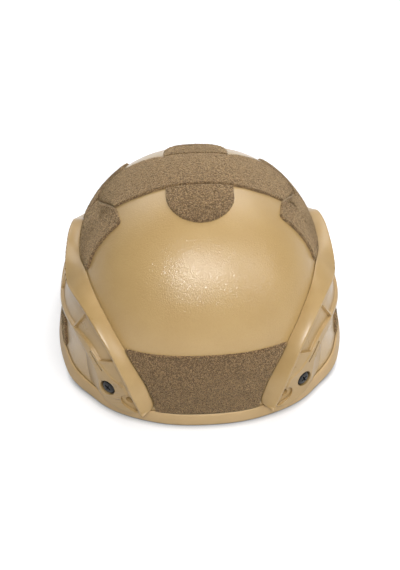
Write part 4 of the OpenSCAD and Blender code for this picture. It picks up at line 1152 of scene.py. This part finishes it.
def strap_eye(name):
    """Moulded end fitting: a plate with a hole for the pin, bevelled on every edge."""
    lean = math.degrees(math.atan2(9.5, -6) - math.acos(EYE_R / math.hypot(6, 9.5)))
    bow = [[EYE_R * math.cos(a), EYE_R * math.sin(a)]
           for a in np.radians(np.linspace(lean, -lean, 15))]
    outline = outline_place([[-12, 9.5], [-6, 9.5]] + bow + [[-6, -9.5], [-12, -9.5]])
    angles = np.radians(np.arange(0, 360, 10))
    square = np.maximum(np.abs(np.cos(angles)), np.abs(np.sin(angles)))
    edge_y, edge_z, _ = outline(np.cos(angles) / square, np.sin(angles) / square)
    bm = bmesh.new()
    loops = []
    for ys, zs in ((edge_y, edge_z), (PIN_R * np.cos(angles), PIN_R * np.sin(angles))):
        verts = [bm.verts.new((-EYE_T / 2, y, z)) for y, z in zip(ys, zs)]
        loops += [bm.edges.new((a, b)) for a, b in zip(verts, verts[1:] + verts[:1])]
    bmesh.ops.bridge_loops(bm, edges=loops)
    thickened(bm, (EYE_T, 0, 0))
    bmesh.ops.recalc_face_normals(bm, faces=bm.faces)
    bevel(bm, 60, 0.5)
    return to_object(bm, name, lambda co: chin_frame(CHIN_X + co[:, 0], co[:, 1], co[:, 2]))


MIRROR, EYE_END, LEFT_TAIL, RIGHT_TAIL = np.array([-1, 1]), -11.0, 17.6, 41.4
chin_web("left_chin_web", "left_chin_strap",
         [[CHIN_X, EYE_END], CHIN_CORNER, CHIN_CORNER + LEFT_TAIL * CHIN_WAY])
chin_web("right_chin_web", "right_chin_strap",
         [[-CHIN_X, EYE_END], CHIN_CORNER * MIRROR, CHIN_FRONT * MIRROR, CHIN_FRONT,
          CHIN_CORNER + RIGHT_TAIL * CHIN_WAY])
both_sides(strap_eye("left_strap_eye"), "left_chin_strap", black_nylon)

# %% [markdown]
# ## Chin cup
# The cup is foam between two leather-look skins, pressed together round its edge and along two
# creases, so that it wraps the chin. It is a slab bent to the arc behind the strap, dished a little
# from top to bottom, and thinned towards its edge.

# %% Make the cup
CUP_X, CUP_HOLLOW, CUP_WALL, CUP_HALF, CUP_REACH = 42.0, 16.0, 4.5, 17.0, 88.0
CUP_FRONT = WEB_T / 2 + 0.3 - CUP_REACH


def cup_shape(co):
    s, f = co[:, 0], co[:, 1]
    a, tall = np.radians(60 * s), CUP_HALF * (1 - 0.3 * np.abs(s) ** 3)
    z = tall * f
    edge = np.minimum((1 - np.abs(s)) * 44, (1 - np.abs(f)) * tall)
    full = np.sqrt(1 - np.clip(1 - edge / 5, 0, 1) ** 2) * 0.72 + 0.28
    crease = 1 - 0.35 * np.exp(-((np.abs(s) - 0.42) * 44 / 1.6) ** 2)
    h = CUP_WALL / 2 + (co[:, 2] - 0.5) * CUP_WALL * full * crease
    dish = 2.5 * f * f
    return chin_frame((CUP_X - h * 0.35) * np.sin(a),
                      CUP_FRONT + CUP_HOLLOW * (1 - np.cos(a)) + h + dish, z)


cup = face_out(to_object(slab(88, 34), "chin_cup_pad", cup_shape))
finish_piece(cup, "chin_cup", padded_black)
print("cup faces:", len(cup.data.polygons))

# %% [markdown]
# ## Camera, light and floor
# The camera stands a little to the side and 43 degrees up, with the lens of the photograph. Four
# soft boxes and a faint white surround light the helmet. The floor is white to the camera, keeps
# the lamps' soft shadows, and has a painted contact shadow darkened in where the helmet is near.

# %% Camera
TARGET = Vector((0.00105, MIDDLE_Y * MM, 0.0463))


def stand(name, data, az, el, away):
    """Stands a camera or a lamp away from the target, and turns it to that."""
    az, el = math.radians(az), math.radians(el)
    way = Vector((math.sin(az) * math.cos(el), -math.cos(az) * math.cos(el), math.sin(el)))
    obj = bpy.data.objects.new(name, data)
    obj.location = TARGET + way * away
    obj.rotation_euler = way.to_track_quat("Z", "Y").to_euler()
    bpy.context.scene.collection.objects.link(obj)
    return obj


camera_data = bpy.data.cameras.new("photo_camera")
camera_data.sensor_fit, camera_data.sensor_height = "VERTICAL", 36.0
camera_data.lens, camera_data.clip_start, camera_data.clip_end = 901 / 570 * 36, 0.01, 20
bpy.context.scene.camera = stand("photo_camera", camera_data, -3.5, 43, 0.850)

# %% Lights
for name, az, el, away, size, power in (
        ("front_box", -2, 51, 1.5, 0.3, 14.4), ("right_box", 52, 40, 1.7, 0.9, 8.4),
        ("rear_right_box", 150, 50, 1.7, 1.0, 9), ("rear_left_box", -150, 40, 1.7, 1.0, 5)):
    lamp = bpy.data.lights.new(name, "AREA")
    lamp.shape, lamp.size, lamp.energy = "DISK", size, power
    stand(name, lamp, az, el, away)

world = bpy.data.worlds.new("white_surround")
bpy.context.scene.world = world
world.use_nodes = True
world.node_tree.nodes.clear()
path = add(world, "LightPath")
strength = ranged(world, path.outputs["Is Camera Ray"], 0.1, 1.0)
sky = add(world, "Background", {"Color": (1, 1, 1, 1), "Strength": strength})
add(world, "OutputWorld", {0: sky.outputs[0]})

# %% Floor and backdrop
PAPER_GLOW = 0.42
floor_paper = new_material("white paper sweep")
path = add(floor_paper, "LightPath")
dull = add(floor_paper, "BsdfDiffuse", {"Color": (0.5, 0.5, 0.5, 1)})
# Painted contact shadow: two occlusion lookups darken the paper's colour and its glow near the
# helmet.
painted_contact_shade = add(floor_paper, "AmbientOcclusion", {"Color": (0.82, 0.82, 0.83, 1), "Distance": 6 * MM})
paper = add(floor_paper, "BsdfDiffuse", {"Color": painted_contact_shade.outputs["Color"]})
painted_nook_shade = add(floor_paper, "AmbientOcclusion", {"Distance": 30 * MM})
both = calc(floor_paper, "MULTIPLY", painted_nook_shade.outputs["AO"], painted_contact_shade.outputs["AO"])
glow = add(floor_paper, "Emission", {"Color": (1, 1, 1, 1),
                                     "Strength": calc(floor_paper, "MULTIPLY", both, PAPER_GLOW)})
lifted = add(floor_paper, "AddShader", {0: paper.outputs[0], 1: glow.outputs[0]})
seen = calc(floor_paper, "MAXIMUM", path.outputs["Is Camera Ray"], path.outputs["Is Glossy Ray"])
chosen = add(floor_paper, "MixShader", {0: seen, 1: dull.outputs[0], 2: lifted.outputs[0]})
add(floor_paper, "OutputMaterial", {0: chosen.outputs[0]})


def lay_floor(co):
    return co * 6000


def lay_backdrop(co):
    return np.stack([co[:, 0] * 3000, 1600 + 0 * co[:, 0], 1000 + co[:, 1] * 1000], axis=-1)


for name, lay in (("floor", lay_floor), ("backdrop", lay_backdrop)):
    sheet = to_object(grid(1, 1), name, lay, smooth=False)
    sheet.data.materials.append(floor_paper)
bpy.context.scene.view_settings.view_transform = "Standard"
